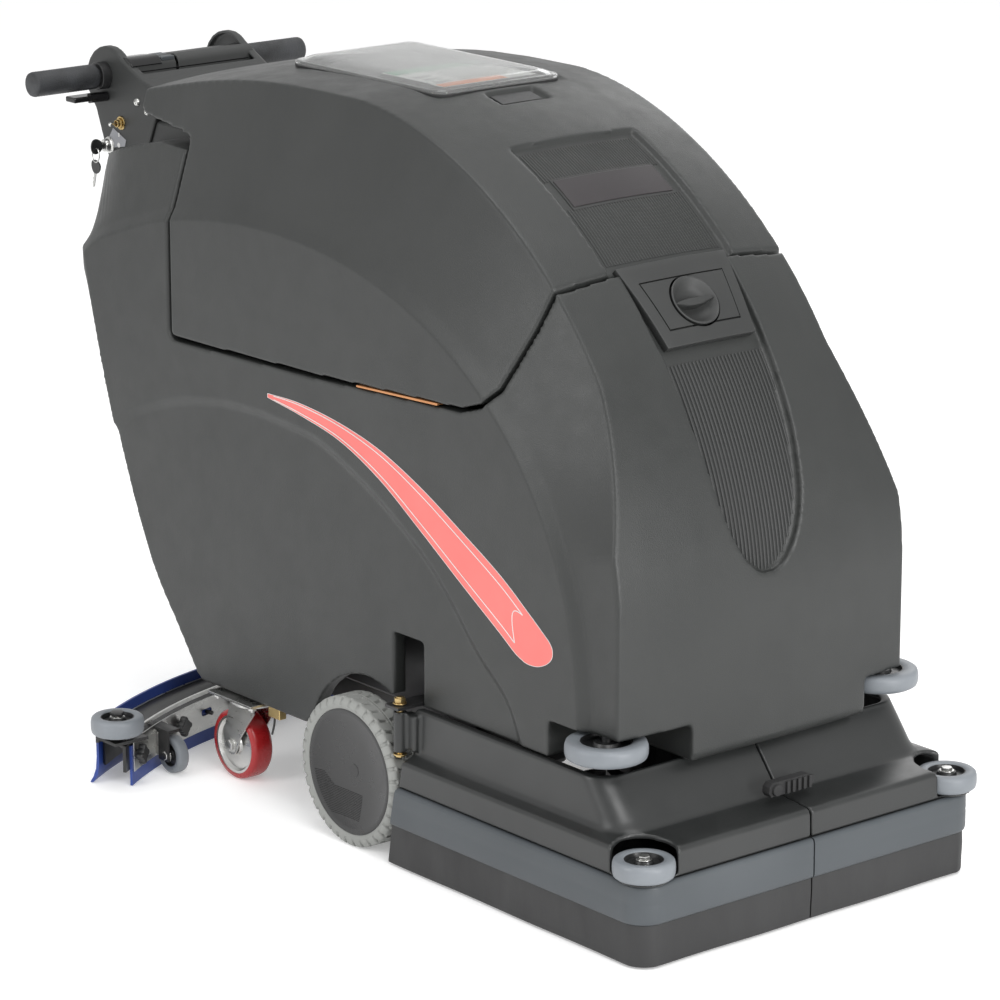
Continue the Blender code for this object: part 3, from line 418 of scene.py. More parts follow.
BLUE = surface("squeegee_rubber", (0.010, 0.032, 0.170), (0.016, 0.044, 0.220), (0.32, 0.5), grain=400,
        bump=0.12)
RED = surface("red_polyurethane", (0.26, 0.008, 0.010), (0.34, 0.014, 0.016), (0.18, 0.32), grain=400,
        bump=0.06)
BRISTLE = surface("bristle", (0.05, 0.05, 0.055), (0.11, 0.11, 0.12), (0.6, 0.85), grain=420, bump=0.9,
        depth=0.003, stretch=(1, 1, 0.05))
DOOR_PLASTIC = surface("door_moulding", (0.015, 0.0162, 0.0160), (0.021, 0.0222, 0.0220), (0.30, 0.42),
        grain=1300, bump=0.16)
TRIM_CAP = surface("hub_plastic", (0.013, 0.013, 0.0135), (0.019, 0.019, 0.0195), (0.24, 0.34), grain=1000,
        bump=0.12)
STRIP = surface("hinge_strip", (0.42, 0.17, 0.06), (0.52, 0.24, 0.10), (0.3, 0.45), metal=0.6, grain=300,
        bump=0.1)
DECAL = surface("decal_red", (0.70, 0.155, 0.138), (0.66, 0.140, 0.126), (0.40, 0.52), grain=900, bump=0.12)
WHITE = surface("print_white", (0.62, 0.62, 0.61), (0.54, 0.54, 0.53), (0.35, 0.5), grain=700, bump=0.05)
GREY = surface("print_grey", (0.28, 0.28, 0.28), (0.33, 0.33, 0.33), grain=700, bump=0.05)
GREEN = surface("print_green", (0.030, 0.20, 0.09), (0.035, 0.24, 0.11), (0.35, 0.5), grain=700, bump=0.05)
ORANGE = surface("print_orange", (0.75, 0.22, 0.05), (0.68, 0.19, 0.05), (0.35, 0.5), grain=700, bump=0.05)
BATTERY = surface("battery_case", (0.022, 0.022, 0.024), (0.034, 0.034, 0.036), (0.4, 0.55), grain=600,
        bump=0.15)


def clear_plastic():
    n = Nodes("clear_plastic")
    n.link(n.mixed(n.spread(n.noise(8.0), 0, 1), (0.90, 0.91, 0.90), (0.84, 0.85, 0.84)),
            n.shader.inputs["Base Color"])
    n.link(n.spread(n.noise(60.0), 0.03, 0.10), n.shader.inputs["Roughness"])
    n.shader.inputs["Transmission Weight"].default_value = 0.92
    n.shader.inputs["IOR"].default_value = 1.45
    n.link(n.bump(n.noise(40.0), 0.03, 0.001), n.shader.inputs["Normal"])
    return n.material


CLEAR = clear_plastic()


def dress(*nodes, finish, width=0.0012, slot=None):
    """A CAD piece shown as it is, with softened edges and a procedural finish."""
    for node in nodes:
        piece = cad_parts[node]
        piece.data.materials.clear()
        piece.data.materials.append(finish)
        bevelled(piece, width, 2, 30)


# ---- the shell's form ---------------------------------------------------------------------
CREST = dict(middle=(0.10, 0.42), reach=(0.600, 0.565), power=1.8)
ARCH = dict(middle=(0.22, 0.25), reach=(0.672, 0.567), power=2.2)
EDGE = dict(middle=(0.22, 0.25), reach=(0.655, 0.549), power=2.2)
CREST_REAR = [(0.20, 0.984), (0.30, 0.979), (0.40, 0.966), (0.50, 0.946), (0.60, 0.922), (0.630, 0.905),
        (0.640, 0.870), (0.673, 0.785), (0.676, 0.712)]
ARCH_REAR = [(0.27, 0.816), (0.32, 0.812), (0.38, 0.804), (0.44, 0.792), (0.50, 0.775), (0.55, 0.758),
        (0.59, 0.742), (0.625, 0.724), (0.652, 0.703)]
EDGE_REAR = [(0.27, 0.798), (0.32, 0.794), (0.38, 0.786), (0.44, 0.775), (0.50, 0.758), (0.55, 0.741),
        (0.59, 0.726), (0.615, 0.712), (0.636, 0.697)]
TAIL = [(0.607, 0.575), (0.563, 0.438), (0.496, 0.285), (0.431, 0.197), (0.386, 0.138)]
UNDER = [(0.375, 0.130), (0.25, 0.130), (0.1365, 0.130)]
NOSE_FOOT = 0.218
AXLE_Z = 0.103
ARCH_RADIUS = 0.126
OVER_WHEEL = [(ARCH_RADIUS * math.cos(math.radians(a)), AXLE_Z + ARCH_RADIUS * math.sin(math.radians(a)))
        for a in (24, 34, 44, 53, 62, 68)] + [(0.0, NOSE_FOOT)]
CROWN = 0.012       # how far the middle of the top stands above its two edges
NOSE_STEPS = 110
REAR_STEPS = 4


def nose_curve(middle, reach, power):
    fine = [(middle[0] - reach[0], NOSE_FOOT)]
    for i in range(801):
        angle = math.radians(90 * i / 800)
        fine.append((middle[0] - reach[0] * math.cos(angle) ** (2 / power),
                middle[1] + reach[1] * math.sin(angle) ** (2 / power)))
    fine = np.array(fine)
    length = np.concatenate([[0], np.cumsum(np.hypot(*np.diff(fine, axis=0).T))])
    want = np.linspace(0, length[-1], NOSE_STEPS + 1)
    return list(zip(np.interp(want, length, fine[:, 0]), np.interp(want, length, fine[:, 1])))


def outline_of(curve, rear):
    nose = nose_curve(**curve)
    behind = smooth_path([nose[-1]] + rear, REAR_STEPS)[1:]
    lower = smooth_path([rear[-1]] + TAIL, REAR_STEPS)[1:] + UNDER + OVER_WHEEL
    return nose + behind + lower


LAST_TOP = NOSE_STEPS + REAR_STEPS * len(CREST_REAR)


def crest_half(height):
    if height > 0.70:
        return 0.192
    return 0.192 + 0.053 * min(1.0, (0.70 - height) / 0.20) ** 1.2


def moved_in(outline, depth):
    count = len(outline)
    moved = []
    for i in range(count):
        before, here, after = (Vector(outline[k % count]) for k in (i - 1, i, i + 1))
        along = ((here - before).normalized() + (after - here).normalized()).normalized()
        moved.append((here.x + along.y * depth, here.y - along.x * depth))
    return moved


def form(name, depth=0.0):
    """The whole shell's solid, with a rounded crown, moved in by depth."""
    crest = moved_in(outline_of(CREST, CREST_REAR), depth)
    crown = moved_in(outline_of(CREST, CREST_REAR), depth - CROWN)
    arch = moved_in(outline_of(ARCH, ARCH_REAR), depth)
    edge = moved_in(outline_of(EDGE, EDGE_REAR), depth)
    feet = LAST_TOP + REAR_STEPS * len(TAIL)

    def level(i, y, z):
        if i == 0:
            return y, NOSE_FOOT
        if i > feet:
            return y, (UNDER + OVER_WHEEL)[i - feet - 1][1]
        return y, z

    def crest_width(i):
        return 0.236 if i > LAST_TOP else crest_half(crest[i][1])

    side = [[(HALF - depth, *level(i, y, z)) for i, (y, z) in enumerate(edge)],
            [(HALF - (0.010 if i <= LAST_TOP else 0.004) - depth, *level(i, y, z))
            for i, (y, z) in enumerate(arch)],
            [(crest_width(i) - depth, *level(i, y, z)) for i, (y, z) in enumerate(crest)]]
    steps = 6
    for k in range(1, steps):
        share = 1 - k / steps
        loop = []
        for i, ((y, z), (y2, z2)) in enumerate(zip(crown, crest)):
            lift = 1 - share * share
            loop.append(((crest_width(i) - depth) * share,
                    *level(i, y2 + (y - y2) * lift, z2 + (z - z2) * lift)))
        side.append(loop)
    middle = [(0, *level(i, y, z)) for i, (y, z) in enumerate(crown)]
    left = [[(-x, y, z) for x, y, z in loop] for loop in side]
    return loft(name, left + [middle] + list(reversed(side)))


def nose_point(across, y, height, lift):
    """A point on the nose's crown, raised by lift, with its normal."""
    (cy, cz), (ry, rz), power = CREST["middle"], CREST["reach"], CREST["power"]
    grade_y = power * ((cy - y) / ry) ** (power - 1) / ry
    grade_z = power * max((height - cz) / rz, 0.0) ** (power - 1) / rz
    normal = Vector((0, -grade_y, grade_z)).normalized()
    crown = CROWN * (1 - (across / 0.192) ** 2)
    return Vector((across, y, height)) + normal * (crown + lift), normal


def on_nose(across, y, lift=0.0):
    """A nose point from its Y, which suits the flatter upper part."""
    (cy, cz), (ry, rz), power = CREST["middle"], CREST["reach"], CREST["power"]
    height = cz + rz * (1 - ((cy - y) / ry) ** power) ** (1 / power)
    return nose_point(across, y, height, lift)


def nose_at(across, height, lift=0.0):
    """A nose point from its height, which suits the steep lower part."""
    (cy, cz), (ry, rz), power = CREST["middle"], CREST["reach"], CREST["power"]
    share = min(1.0, max(0.0, (height - cz) / rz))
    y = cy - ry * (1 - share ** power) ** (1 / power)
    return nose_point(across, y, height, lift)


TANK_SEAM = [(0.428, 0.6125), (0.10, 0.6210), (-0.205, 0.6350), (-0.245, 0.6480), (-0.268, 0.6700),
        (-0.300, 0.7500), (-0.318, 0.8100), (-0.345, 0.9000)]
TANK_ABOVE = [(-0.345, 1.10), (0.566, 1.10), (0.566, 0.905), (0.552, 0.897), (0.428, 0.887)]


def rounded(outline, sharp, reach=0.012, steps=5):
    """The outline with the corners listed in sharp rounded off."""
    made = []
    count = len(outline)
    for i, point in enumerate(outline):
        if i not in sharp:
            made.append(point)
            continue
        here, before, after = Vector(point), Vector(outline[i - 1]), Vector(outline[(i + 1) % count])
        one = here + (before - here).normalized() * reach
        two = here + (after - here).normalized() * reach
        for k in range(steps + 1):
            t = k / steps
            made.append(tuple(one * (1 - t) ** 2 + here * (2 * t * (1 - t)) + two * t * t))
    return made


def tank_outline(spread):
    """The tank's side view, grown by spread towards the body."""
    seam = rounded(TANK_SEAM + TANK_ABOVE, {0, 12}, 0.014)
    return moved_in(seam, -spread)


def prism(name, outline, half):
    return loft(name, [[(x, y, z) for y, z in outline] for x in (-half, half)])


def nose_block(name, stations, low, high, across=9, by_height=False):
    """A solid that follows the nose, for cutting recesses. Stations are (place, half width)."""
    loops = []
    for place, half in stations:
        point = nose_at if by_height else on_nose
        xs = [(-1 + 2 * k / (across - 1)) * half for k in range(across)]
        loops.append([tuple(point(x, place, low)[0]) for x in xs] + [tuple(point(x, place, high)[0])
                for x in reversed(xs)])
    return loft(name, loops)


# The recess down the nose: half width at each height.
RECESS = [(0.845, 0.0915), (0.82, 0.0900), (0.77, 0.0886), (0.72, 0.0870), (0.67, 0.0840), (0.61, 0.0800),
        (0.57, 0.0745), (0.535, 0.0690), (0.510, 0.0620), (0.490, 0.0540), (0.472, 0.0440),
        (0.458, 0.0330), (0.449, 0.0220), (0.4435, 0.0110), (0.4425, 0.0030)]


def recess_half(height):
    heights = [h for h, _ in reversed(RECESS)]
    halves = [w for _, w in reversed(RECESS)]
    return float(np.interp(height, heights, halves))


CREASE = [(-0.335, 0.200), (-0.298, 0.272), (-0.237, 0.324), (-0.156, 0.406), (-0.074, 0.461),
        (0.011, 0.504), (0.097, 0.536), (0.185, 0.546), (0.275, 0.548), (0.367, 0.538), (0.439, 0.521),
        (0.512, 0.495), (0.562, 0.468), (0.62, 0.43)]
CREASE_STEP = 0.0050


def press_sides(mesh):
    """The soft step along the crease on each flank: the panel under it sits a little further in."""
    place = points_of(mesh)
    y, z = place[:, 1] - AXLE_Y, place[:, 2]
    curve = np.array(smooth_path(CREASE, 6))
    order = np.argsort(curve[:, 0])
    height = np.interp(y, curve[order, 0], curve[order, 1])
    slope = np.gradient(curve[order, 1], curve[order, 0])
    steep = np.interp(y, curve[order, 0], slope)
    under = (height - z) / np.sqrt(1 + steep ** 2)
    share = np.clip((under + 0.004) / 0.016, 0, 1)
    share = share * share * (3 - 2 * share)
    share[y < CREASE[0][0]] = 0
    flat = np.clip((np.abs(place[:, 0]) - 0.240) / 0.012, 0, 1)
    place[:, 0] -= np.sign(place[:, 0]) * CREASE_STEP * share * flat
    set_points(mesh, place)


def body_piece():
    body = obj_from("scrubber_body", form("scrubber_body"), SHELL)
    bay = box("bay", (-0.228, -0.205, 0.05), (0.228, 0.520, 1.2))
    bay_back = prism("bay_back", [(0.30, 0.05), (0.362, 0.05), (0.400, 0.150), (0.470, 0.280),
            (0.535, 0.440), (0.575, 0.580), (0.590, 0.72), (0.595, 0.79), (0.45, 0.79), (0.45, 0.60),
            (0.30, 0.60)], 0.180)
    motor_bay = loft("motor_bay", [[(x, y, z)
            for x, y in ((-0.232, -0.366), (-0.118, -0.370), (-0.118, -0.440), (0.118, -0.440),
            (0.118, -0.370), (0.232, -0.366), (0.232, -0.100), (-0.232, -0.100))] for z in (0.05, 0.430)])
    front_bay = loft("front_bay", [[(x, y, z)
            for x, y in ((-0.110, -0.482), (0.110, -0.482), (0.110, -0.40), (-0.110, -0.40))]
            for z in (0.05, 0.420)])
    solution = box("solution", (-0.215, -0.385, 0.452), (0.215, -0.245, 0.600))
    upper = box("upper", (-0.185, -0.300, 0.590), (0.185, -0.245, 0.735))
    shape = obj_from("bay_shape", bay)
    cut(shape, "INTERSECT", prism("bay_limit",
            [(-0.205, 0.05), (0.362, 0.05), (0.400, 0.150), (0.470, 0.280), (0.500, 0.400), (0.505, 0.540),
            (0.405, 0.590), (0.405, 1.2), (-0.205, 1.2)], 0.3))
    tank_space = prism("tank_space", tank_outline(0.0030), 0.4)
    recess = nose_block("recess", [(h, recess_half(h))
            for h in list(np.linspace(0.845, 0.47, 46)) + [0.462, 0.455, 0.449, 0.4455, 0.4432]], -0.011,
            0.050, by_height=True)
    # The column stops short of the tank's overhang, and slopes down behind it to the steering head.
    column_top = prism("column_top", [(0.424, 0.8690), (0.498, 0.8700), (0.560, 0.8560), (0.640, 0.8330),
            (0.720, 0.8080), (0.720, 1.10), (0.424, 1.10)], 0.3)
    steps = [column_top, shape, bay_back, motor_bay, front_bay, solution, upper, tank_space, recess]
    for side in (-1, 1):
        inner = 0.127 if side < 0 else 0.176      # the left notch reaches further in
        low, high = sorted((side * 0.30, side * inner))
        steps.append(box("notch", (low, -0.60, 0.19), (high, -0.378, 0.266)))
        low, high = sorted((side * 0.30, side * 0.225))
        steps.append(box("slot", (low, -0.120, 0.19), (high, -0.058, 0.306)))
        low, high = sorted((side * 0.30, side * 0.205))
        steps.append(rod("arch", "X", (side * HALF, 0, AXLE_Z), ARCH_RADIUS, 0.110, 96))
    cut(body, "DIFFERENCE", *steps)
    cut(body, "DIFFERENCE", on_filler(rod("filler", "Z", (0, 0, 0), 0.0365, 0.09)))
    moulded(body, VOXEL, ROUNDS)
    press_sides(body.data)
    thinned(body, 0.42)
    settle(body, "machine", "lower_body")


def tank_piece():
    tank = obj_from("recovery_tank_shell", form("recovery_tank_shell"), SHELL)
    cut(tank, "INTERSECT", prism("tank_outer", tank_outline(-0.0022), 0.4))
    hollow = obj_from("tank_hollow", form("tank_hollow", SKIN))
    cut(hollow, "INTERSECT", prism("tank_inside", tank_outline(-0.0012 - SKIN), 0.4))
    lid_low, lid_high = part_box("clear_lid")
    gasket_low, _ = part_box("lid_gasket")
    front, rear = lid_low.y - AXLE_Y, lid_high.y - AXLE_Y
    mouth = box("mouth", (-0.094, front + 0.016, 0.90), (0.094, rear - 0.016, 1.05))
    seat = box("seat", (-0.1115, front - 0.0035, gasket_low.z - 0.0005), (0.1115, rear + 0.0035, 1.05))
    finger = nose_block("finger", [(y, 0.042) for y in np.linspace(0.010, -0.026, 7)], -0.007, 0.030)
    recess = nose_block("front_recess", [(y, 0.105) for y in np.linspace(-0.118, -0.360, 30)], -0.0075,
            0.040)
    cut(tank, "DIFFERENCE", hollow, mouth, seat, finger, recess)
    moulded(tank, VOXEL, ROUNDS)
    thinned(tank, 0.42)
    settle(tank, "tank", "recovery_tank")


def ribs(name, lines, radius, body):
    """Half-round ribs along the given lines of points with their normals, as one piece."""
    bm = bmesh.new()
    sides = 6
    for line in lines:
        loops = []
        for point, normal in line:
            across = Vector((1, 0, 0))
            loops.append([bm.verts.new(point + across * (radius * math.cos(a)) + normal
                    * (radius * math.sin(a))) for a in (math.pi * k / (sides - 1) for k in range(sides))])
        for one, two in zip(loops, loops[1:]):
            for k in range(sides - 1):
                bm.faces.new((one[k], one[k + 1], two[k + 1], two[k]))
            bm.faces.new((one[-1], one[0], two[0], two[-1]))
        bm.faces.new(loops[0][::-1])
        bm.faces.new(loops[-1])
    bmesh.ops.recalc_face_normals(bm, faces=bm.faces)
    mesh = bpy.data.meshes.new(name)
    bm.to_mesh(mesh)
    bm.free()
    settle(shade(obj_from(name, mesh, PANEL), 60), body)


def rib_places(half, pitch):
    count = int(half / pitch)
    return [k * pitch for k in range(-count, count + 1)]


def ribbed_panels():
    lines = []
    for across in rib_places(0.084, 0.0060):
        heights = [h for h in np.linspace(0.700, 0.4445, 60) if recess_half(h) > abs(across) + 0.0048]
        if len(heights) > 3:
            lines.append([nose_at(across, h, -0.0112) for h in heights])
    ribs("nose_ribs", lines, 0.0021, "machine")
    lines = []
    badge_front, badge_rear = -0.2235, -0.1785
    for across in rib_places(0.098, 0.0045):
        for span in ((-0.128, badge_rear), (badge_front, -0.300)):
            lines.append([on_nose(across, y, -0.0078) for y in np.linspace(*span, 14)])
    ribs("tank_ribs", lines, 0.0014, "tank")


def badge():
    """The blank badge plate in its rim, in the tank's ribbed recess."""
    for name, front, rear, half, low, high, finish, slot, node in ( ("badge_blank", -0.180, -0.222, 0.084,
            -0.0075, -0.0050, BADGE, "black_trim", "badge_plate"),
            ("badge_rim", -0.1765, -0.2255, 0.0870, -0.0085, -0.0062, PANEL, "moulded_shell", None)):
        plate = nose_block(name, [(y, half) for y in np.linspace(front, rear, 12)], low, high, 15)
        settle(bevelled(obj_from(name, plate, finish), 0.0006, 2), "tank", node)


FILLER_Y = -0.352
PLATE_REAR, PLATE_FRONT = (-0.307, 0.0925), (-0.387, 0.074)     # Y and half width of its two ends


def on_filler(mesh):
    """Moves a mesh made round the Z axis to the filler's place, square to the nose."""
    point, normal = on_nose(0, FILLER_Y)
    mesh.transform(Matrix.Translation(point) @ normal.to_track_quat("Z", "Y").to_matrix().to_4x4())
    return mesh


def plate_part(name, rear, front, inset, low, high, stations):
    """A part of the filler plate between two Y, whose sides run parallel to the plate's."""
    (y0, half0), (y1, half1) = PLATE_REAR, PLATE_FRONT
    ys = np.linspace(rear, front, stations)
    return nose_block(name, [(y, half0 + (half1 - half0) * (y - y0) / (y1 - y0) - inset) for y in ys], low,
            high, 11)


def filler():
    """The plate round the filler, the square set in it, and the twist cap."""
    hole = on_filler(rod("hole", "Z", (0, 0, 0), 0.0375, 0.09, 64))
    outer = plate_part("outer", -0.307, -0.387, 0.0, -0.0110, 0.0008, 12)
    outer = bevelled(obj_from("filler_frame", outer, PANEL), 0.0010, 3)
    cut(outer, "DIFFERENCE", plate_part("well", -0.326, -0.374, 0.017, -0.003, 0.02, 10), hole.copy())
    bevelled(outer, 0.0008, 2)
    settle(outer, "machine", "filler_plate")
    inner = plate_part("inner", -0.3275, -0.3725, 0.0185, -0.009, 0.0012, 10)
    inner = obj_from("filler_square", inner, PANEL)
    cut(inner, "DIFFERENCE", hole)
    bevelled(inner, 0.0008, 2)
    settle(inner, "machine")
    # The cap is a round dish with a lens-shaped grip standing across it.
    round_dish = turned("dish", "Z", (0, 0, 0),
            [(0, -0.0200), (0.030, -0.0200), (0.0340, -0.0185), (0.0340, 0.0010), (0.0352, 0.0014),
            (0.0352, 0.0026), (0.0338, 0.0032), (0.0322, 0.0024), (0.0270, -0.0045), (0.0180, -0.0095),
            (0.0080, -0.0118), (0, -0.0122)], 96)
    cap = obj_from("filler_cap_twist", round_dish, PANEL, shift=False)
    grip = [[(0.0325 * math.cos(a), 0.0062 * grow * math.sin(a) * abs(math.sin(a)) ** 0.6, height)
            for a in circle(64)] for height, grow in ((-0.0140, 1.0), (-0.0005, 0.9), (0.0015, 0.6))]
    cut(cap, "UNION", obj_from("helper", loft("grip", grip), None, shift=False))
    on_filler(cap.data)
    cap.data.transform(Matrix.Translation((0, AXLE_Y, 0)))
    bevelled(cap, 0.0008, 3)
    settle(cap, "filler_cap", "filler_cap")


# ---- lid ----------------------------------------------------------------------------------
def lid():
    low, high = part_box("clear_lid")
    base = low.z
    front, rear = low.y - AXLE_Y, high.y - AXLE_Y
    half = high.x

    def ring(inset, height, radius=0.022, steps=6):
        loop = []
        for cx, cy, start in ((1, 1, 0), (-1, 1, 90), (-1, -1, 180), (1, -1, 270)):
            x = cx * (half - inset - radius)
            y = (rear if cy > 0 else front) - cy * (inset + radius)
            for k in range(steps + 1):
                a = math.radians(start + 90 * k / steps)
                loop.append((x + radius * math.cos(a), y + radius * math.sin(a), height))
        return loop

    rise = high.z - low.z
    outer = [(0, 0.0), (0, 0.0035), (0.0015, 0.0055), (0.006, 0.0062), (0.009, 0.0082), (0.020, 0.0118),
            (0.040, 0.0142), (0.070, 0.0156), (0.085, rise)]
    loops = [ring(i, base + z, 0.022 if i < 0.02 else 0.010) for i, z in outer]
    cover = obj_from("lid_dome", loft("lid", loops), CLEAR)
    under = loft("under", [ring(0.0030, base - 0.01, 0.020)] + [ring(i + 0.0028, base + z - 0.0022, 0.019
            if i < 0.02 else 0.009) for i, z in outer[2:]])
    cut(cover, "DIFFERENCE", under)
    shade(cover, 40)
    settle(cover, "lid", "clear_lid")
    # Its black rim and the printed sheet under the clear part, with blank blocks in place of words.
    frame_outer = loft("rim", [ring(-0.0002, base - 0.0004), ring(-0.0002, base + 0.0022),
            ring(0.0010, base + 0.0034), ring(0.0075, base + 0.0034), ring(0.0085, base + 0.0022),
            ring(0.0085, base - 0.0004)], closed=True)
    rim = shade(obj_from("lid_seal", frame_outer, RUBBER))
    rim.data.transform(Matrix.Translation((0, 0, -0.0026)))
    settle(rim, "tank", "lid_gasket")
    for name, finish, (x0, y0, x1, y1), layer in ( ("label_sheet", WHITE, (-0.078, 0.046, 0.078, 0.178),
            0), ("label_green", GREEN, (-0.076, 0.150, 0.076, 0.176), 1),
            ("label_orange", ORANGE, (-0.076, 0.048, 0.030, 0.066), 1)):
        z = base + 0.0030 + 0.0005 * layer
        piece = obj_from(name, box(name, (x0, y0, z), (x1, y1, z + 0.0006)), finish)
        settle(bevelled(piece, 0.0002, 2), "lid")
    bars = []
    for k in range(8):
        y = 0.141 - k * 0.0095
        x1 = 0.070 - 0.022 * ((k * 37) % 5) / 5
        bars.append(box("bar", (-0.030, y, base + 0.0036), (x1, y + 0.0036, base + 0.0040)))
    for k in range(3):
        bars.append(box("bar", (-0.070, 0.112 - k * 0.020, base + 0.0036),
                (-0.042, 0.124 - k * 0.020, base + 0.0040)))
    settle(joined("label_bars", bars, GREY), "lid")
    # A dark strainer basket shows through the clear lid.
    basket = obj_from("lid_baffle", box("basket", (-0.088, 0.200, base - 0.030),
            (0.088, 0.318, base - 0.004)), TRIM)
    settle(bevelled(basket, 0.004, 3), "lid")
    latch = obj_from("lid_pull", nose_block("pull", [(y, 0.034) for y in np.linspace(0.008, -0.020, 6)],
            -0.0075, -0.0045), TRIM)
    bevelled(latch, 0.001, 3)
    settle(latch, "tank")


# ---- splash doors -------------------------------------------------------------------------
DOOR_TOP = 0.2165
DOOR_GAP = 0.0012       # half the gap where the two doors meet
DOOR = [(0.2480, -0.4800, DOOR_TOP - 0.0010, 0.030), (0.2590, -0.4830, DOOR_TOP, 0.034),
        (0.2612, -0.4850, DOOR_TOP - 0.0010, 0.036), (0.2620, -0.4860, DOOR_TOP - 0.0035, 0.036),
        (0.2628, -0.5050, 0.1900, 0.038), (0.2636, -0.5240, 0.1660, 0.040),
        (0.2645, -0.5310, 0.1590, 0.040), (0.2665, -0.5370, 0.1555, 0.040),
        (0.2700, -0.5480, 0.1540, 0.040), (0.2780, -0.5790, 0.1512, 0.036),
        (0.2830, -0.5870, 0.1500, 0.034), (0.2852, -0.5905, 0.1482, 0.032),
        (0.2862, -0.5925, 0.1455, 0.032), (0.2862, -0.5945, 0.1127, 0.032),
        (0.2790, -0.5880, 0.1127, 0.026), (0.2790, -0.5860, 0.1390, 0.026),
        (0.2770, -0.5830, 0.1435, 0.026), (0.2570, -0.5260, 0.1500, 0.030),
        (0.2550, -0.4780, DOOR_TOP - 0.0060, 0.026), (0.2480, -0.4760, DOOR_TOP - 0.0060, 0.026)]
BUMPER = [(0.2866, -0.5960, 0.1118, 0.032), (0.2905, -0.5985, 0.1100, 0.034),
        (0.2922, -0.5997, 0.1060, 0.036), (0.2925, -0.6000, 0.0900, 0.036),
        (0.2921, -0.5997, 0.0870, 0.036), (0.2925, -0.6000, 0.0840, 0.036),
        (0.2925, -0.6000, 0.0640, 0.036), (0.2915, -0.5990, 0.0605, 0.035),
        (0.2885, -0.5965, 0.0590, 0.032), (0.2835, -0.5925, 0.0590, 0.028),
        (0.2835, -0.5925, 0.1118, 0.028)]
SKIRT_SECTION = [(0.2830, -0.5920, 0.1118, 0.028), (0.2830, -0.5920, 0.0586, 0.028),
        (0.2880, -0.5960, 0.0586, 0.031), (0.2884, -0.5967, 0.0400, 0.031),
        (0.2878, -0.5962, 0.0200, 0.031), (0.2878, -0.5962, 0.0070, 0.031),
        (0.2872, -0.5958, 0.0036, 0.031), (0.2858, -0.5948, 0.0030, 0.031),
        (0.2800, -0.5890, 0.0030, 0.026), (0.2780, -0.5870, 0.0500, 0.026),
        (0.2790, -0.5880, 0.1118, 0.026)]


def door_rear(height):
    """Y of the door's rear edge, which slants under the hinge to clear the drive tyre."""
    if height > 0.155:
        return -0.118
    return -0.090 - 0.031 * height / 0.155


def door_sweep(name, section, side, corner=16, along=10):
    """A section of (x, y, z, corner radius) swept round a door, from its rear to the seam in front."""
    loops = []
    for step in range(along):
        share = step / along
        loop = []
        for x, y, z, radius in section:
            start, end = door_rear(z), y + radius
            loop.append((side * x, start + (end - start) * share, z))
        loops.append(loop)
    for step in range(corner + 1):
        angle = math.radians(90 * step / corner)
        loops.append([(side * (x - r + r * math.cos(angle)), y + r - r * math.sin(angle), z)
                for x, y, z, r in section])
    for step in range(1, along + 1):
        share = step / along
        loops.append([(side * ((x - r) * (1 - share) + DOOR_GAP * share), y, z) for x, y, z, r in section])
    return loft(name, loops)


def doors():
    for side, sign in SIDES:
        seat_low, seat_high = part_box("door_roller_" + side)
        x, y = (seat_low.x + seat_high.x) / 2, (seat_low.y + seat_high.y) / 2 - AXLE_Y
        panel = obj_from("door_panel_" + side, door_sweep("door", DOOR, sign), DOOR_PLASTIC)
        room = rod("room", "Z", (x, y, 0.1380), 0.0432, 0.046, 64)
        perch = rod("perch", "Z", (x, y, 0.1139), 0.0330, 0.0034, 64)
        hinge = middle_of("door_pin_" + side)
        barrel_at = (hinge.x, hinge.y - AXLE_Y, 0.1860)
        low, high = sorted((sign * 0.2570, sign * 0.2720))
        web = box("web", (low, -0.130, 0.1620), (high, -0.1025, 0.2105))
        cut(panel, "DIFFERENCE", room)
        cut(panel, "UNION", rod("barrel", "Z", barrel_at, 0.0088, 0.0560, 48), web, perch)
        cut(panel, "DIFFERENCE", rod("bore", "Z", barrel_at, 0.0055, 0.1, 32))
        moulded(panel, 0.0022, 2, soften=1)
        thinned(panel, 0.5)
        settle(panel, "door_" + side, "splash_door_" + side)
        band = shade(obj_from("door_bumper_" + side, door_sweep("band", BUMPER, sign, 20, 12), BAND), 50)
        settle(band, "door_" + side, "bumper_band_" + side)
        skirt = obj_from("rubber_skirt_" + side, door_sweep("skirt", SKIRT_SECTION, sign, 20, 30), SKIRT)
        wave(skirt.data)
        shade(skirt, 50)
        settle(skirt, "door_" + side, "door_skirt_" + side)
        # Bolt, nuts and washers of the hinge.
        z_low, z_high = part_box("door_pin_" + side)
        parts = [rod("pin", "Z", (*barrel_at[:2], (z_low.z + z_high.z) / 2), 0.0048,
                z_high.z - z_low.z - 0.002, 32),
                rod("washer", "Z", (*barrel_at[:2], 0.2248), 0.0093, 0.0020, 40),
                rod("nut", "Z", (*barrel_at[:2], 0.2290), 0.0080, 0.0062, 6),
                rod("washer", "Z", (*barrel_at[:2], 0.1548), 0.0093, 0.0018, 40),
                rod("tip", "Z", (*barrel_at[:2], 0.1526), 0.0068, 0.0030, 6)]
        pin = bevelled(joined("door_bolt_" + side, parts, BRASS), 0.0004, 2)
        settle(pin, "machine", "door_pin_" + side)
    latch()


def wave(mesh):
    """The rubber skirt hangs with a very slight waviness towards its lower edge."""
    place = points_of(mesh)
    share = np.clip((0.058 - place[:, 2]) / 0.055, 0, 1)
    ripple = 0.0007 * np.sin(place[:, 0] * 31 + 1) + 0.0006 * np.sin(place[:, 1] * 27 + 2)
    side = np.abs(place[:, 0]) > 0.26
    place[side, 0] += (np.sign(place[:, 0]) * share * (ripple - 0.0004))[side]
    place[~side, 1] += (share * (ripple + 0.0004))[~side]
    set_points(mesh, place)


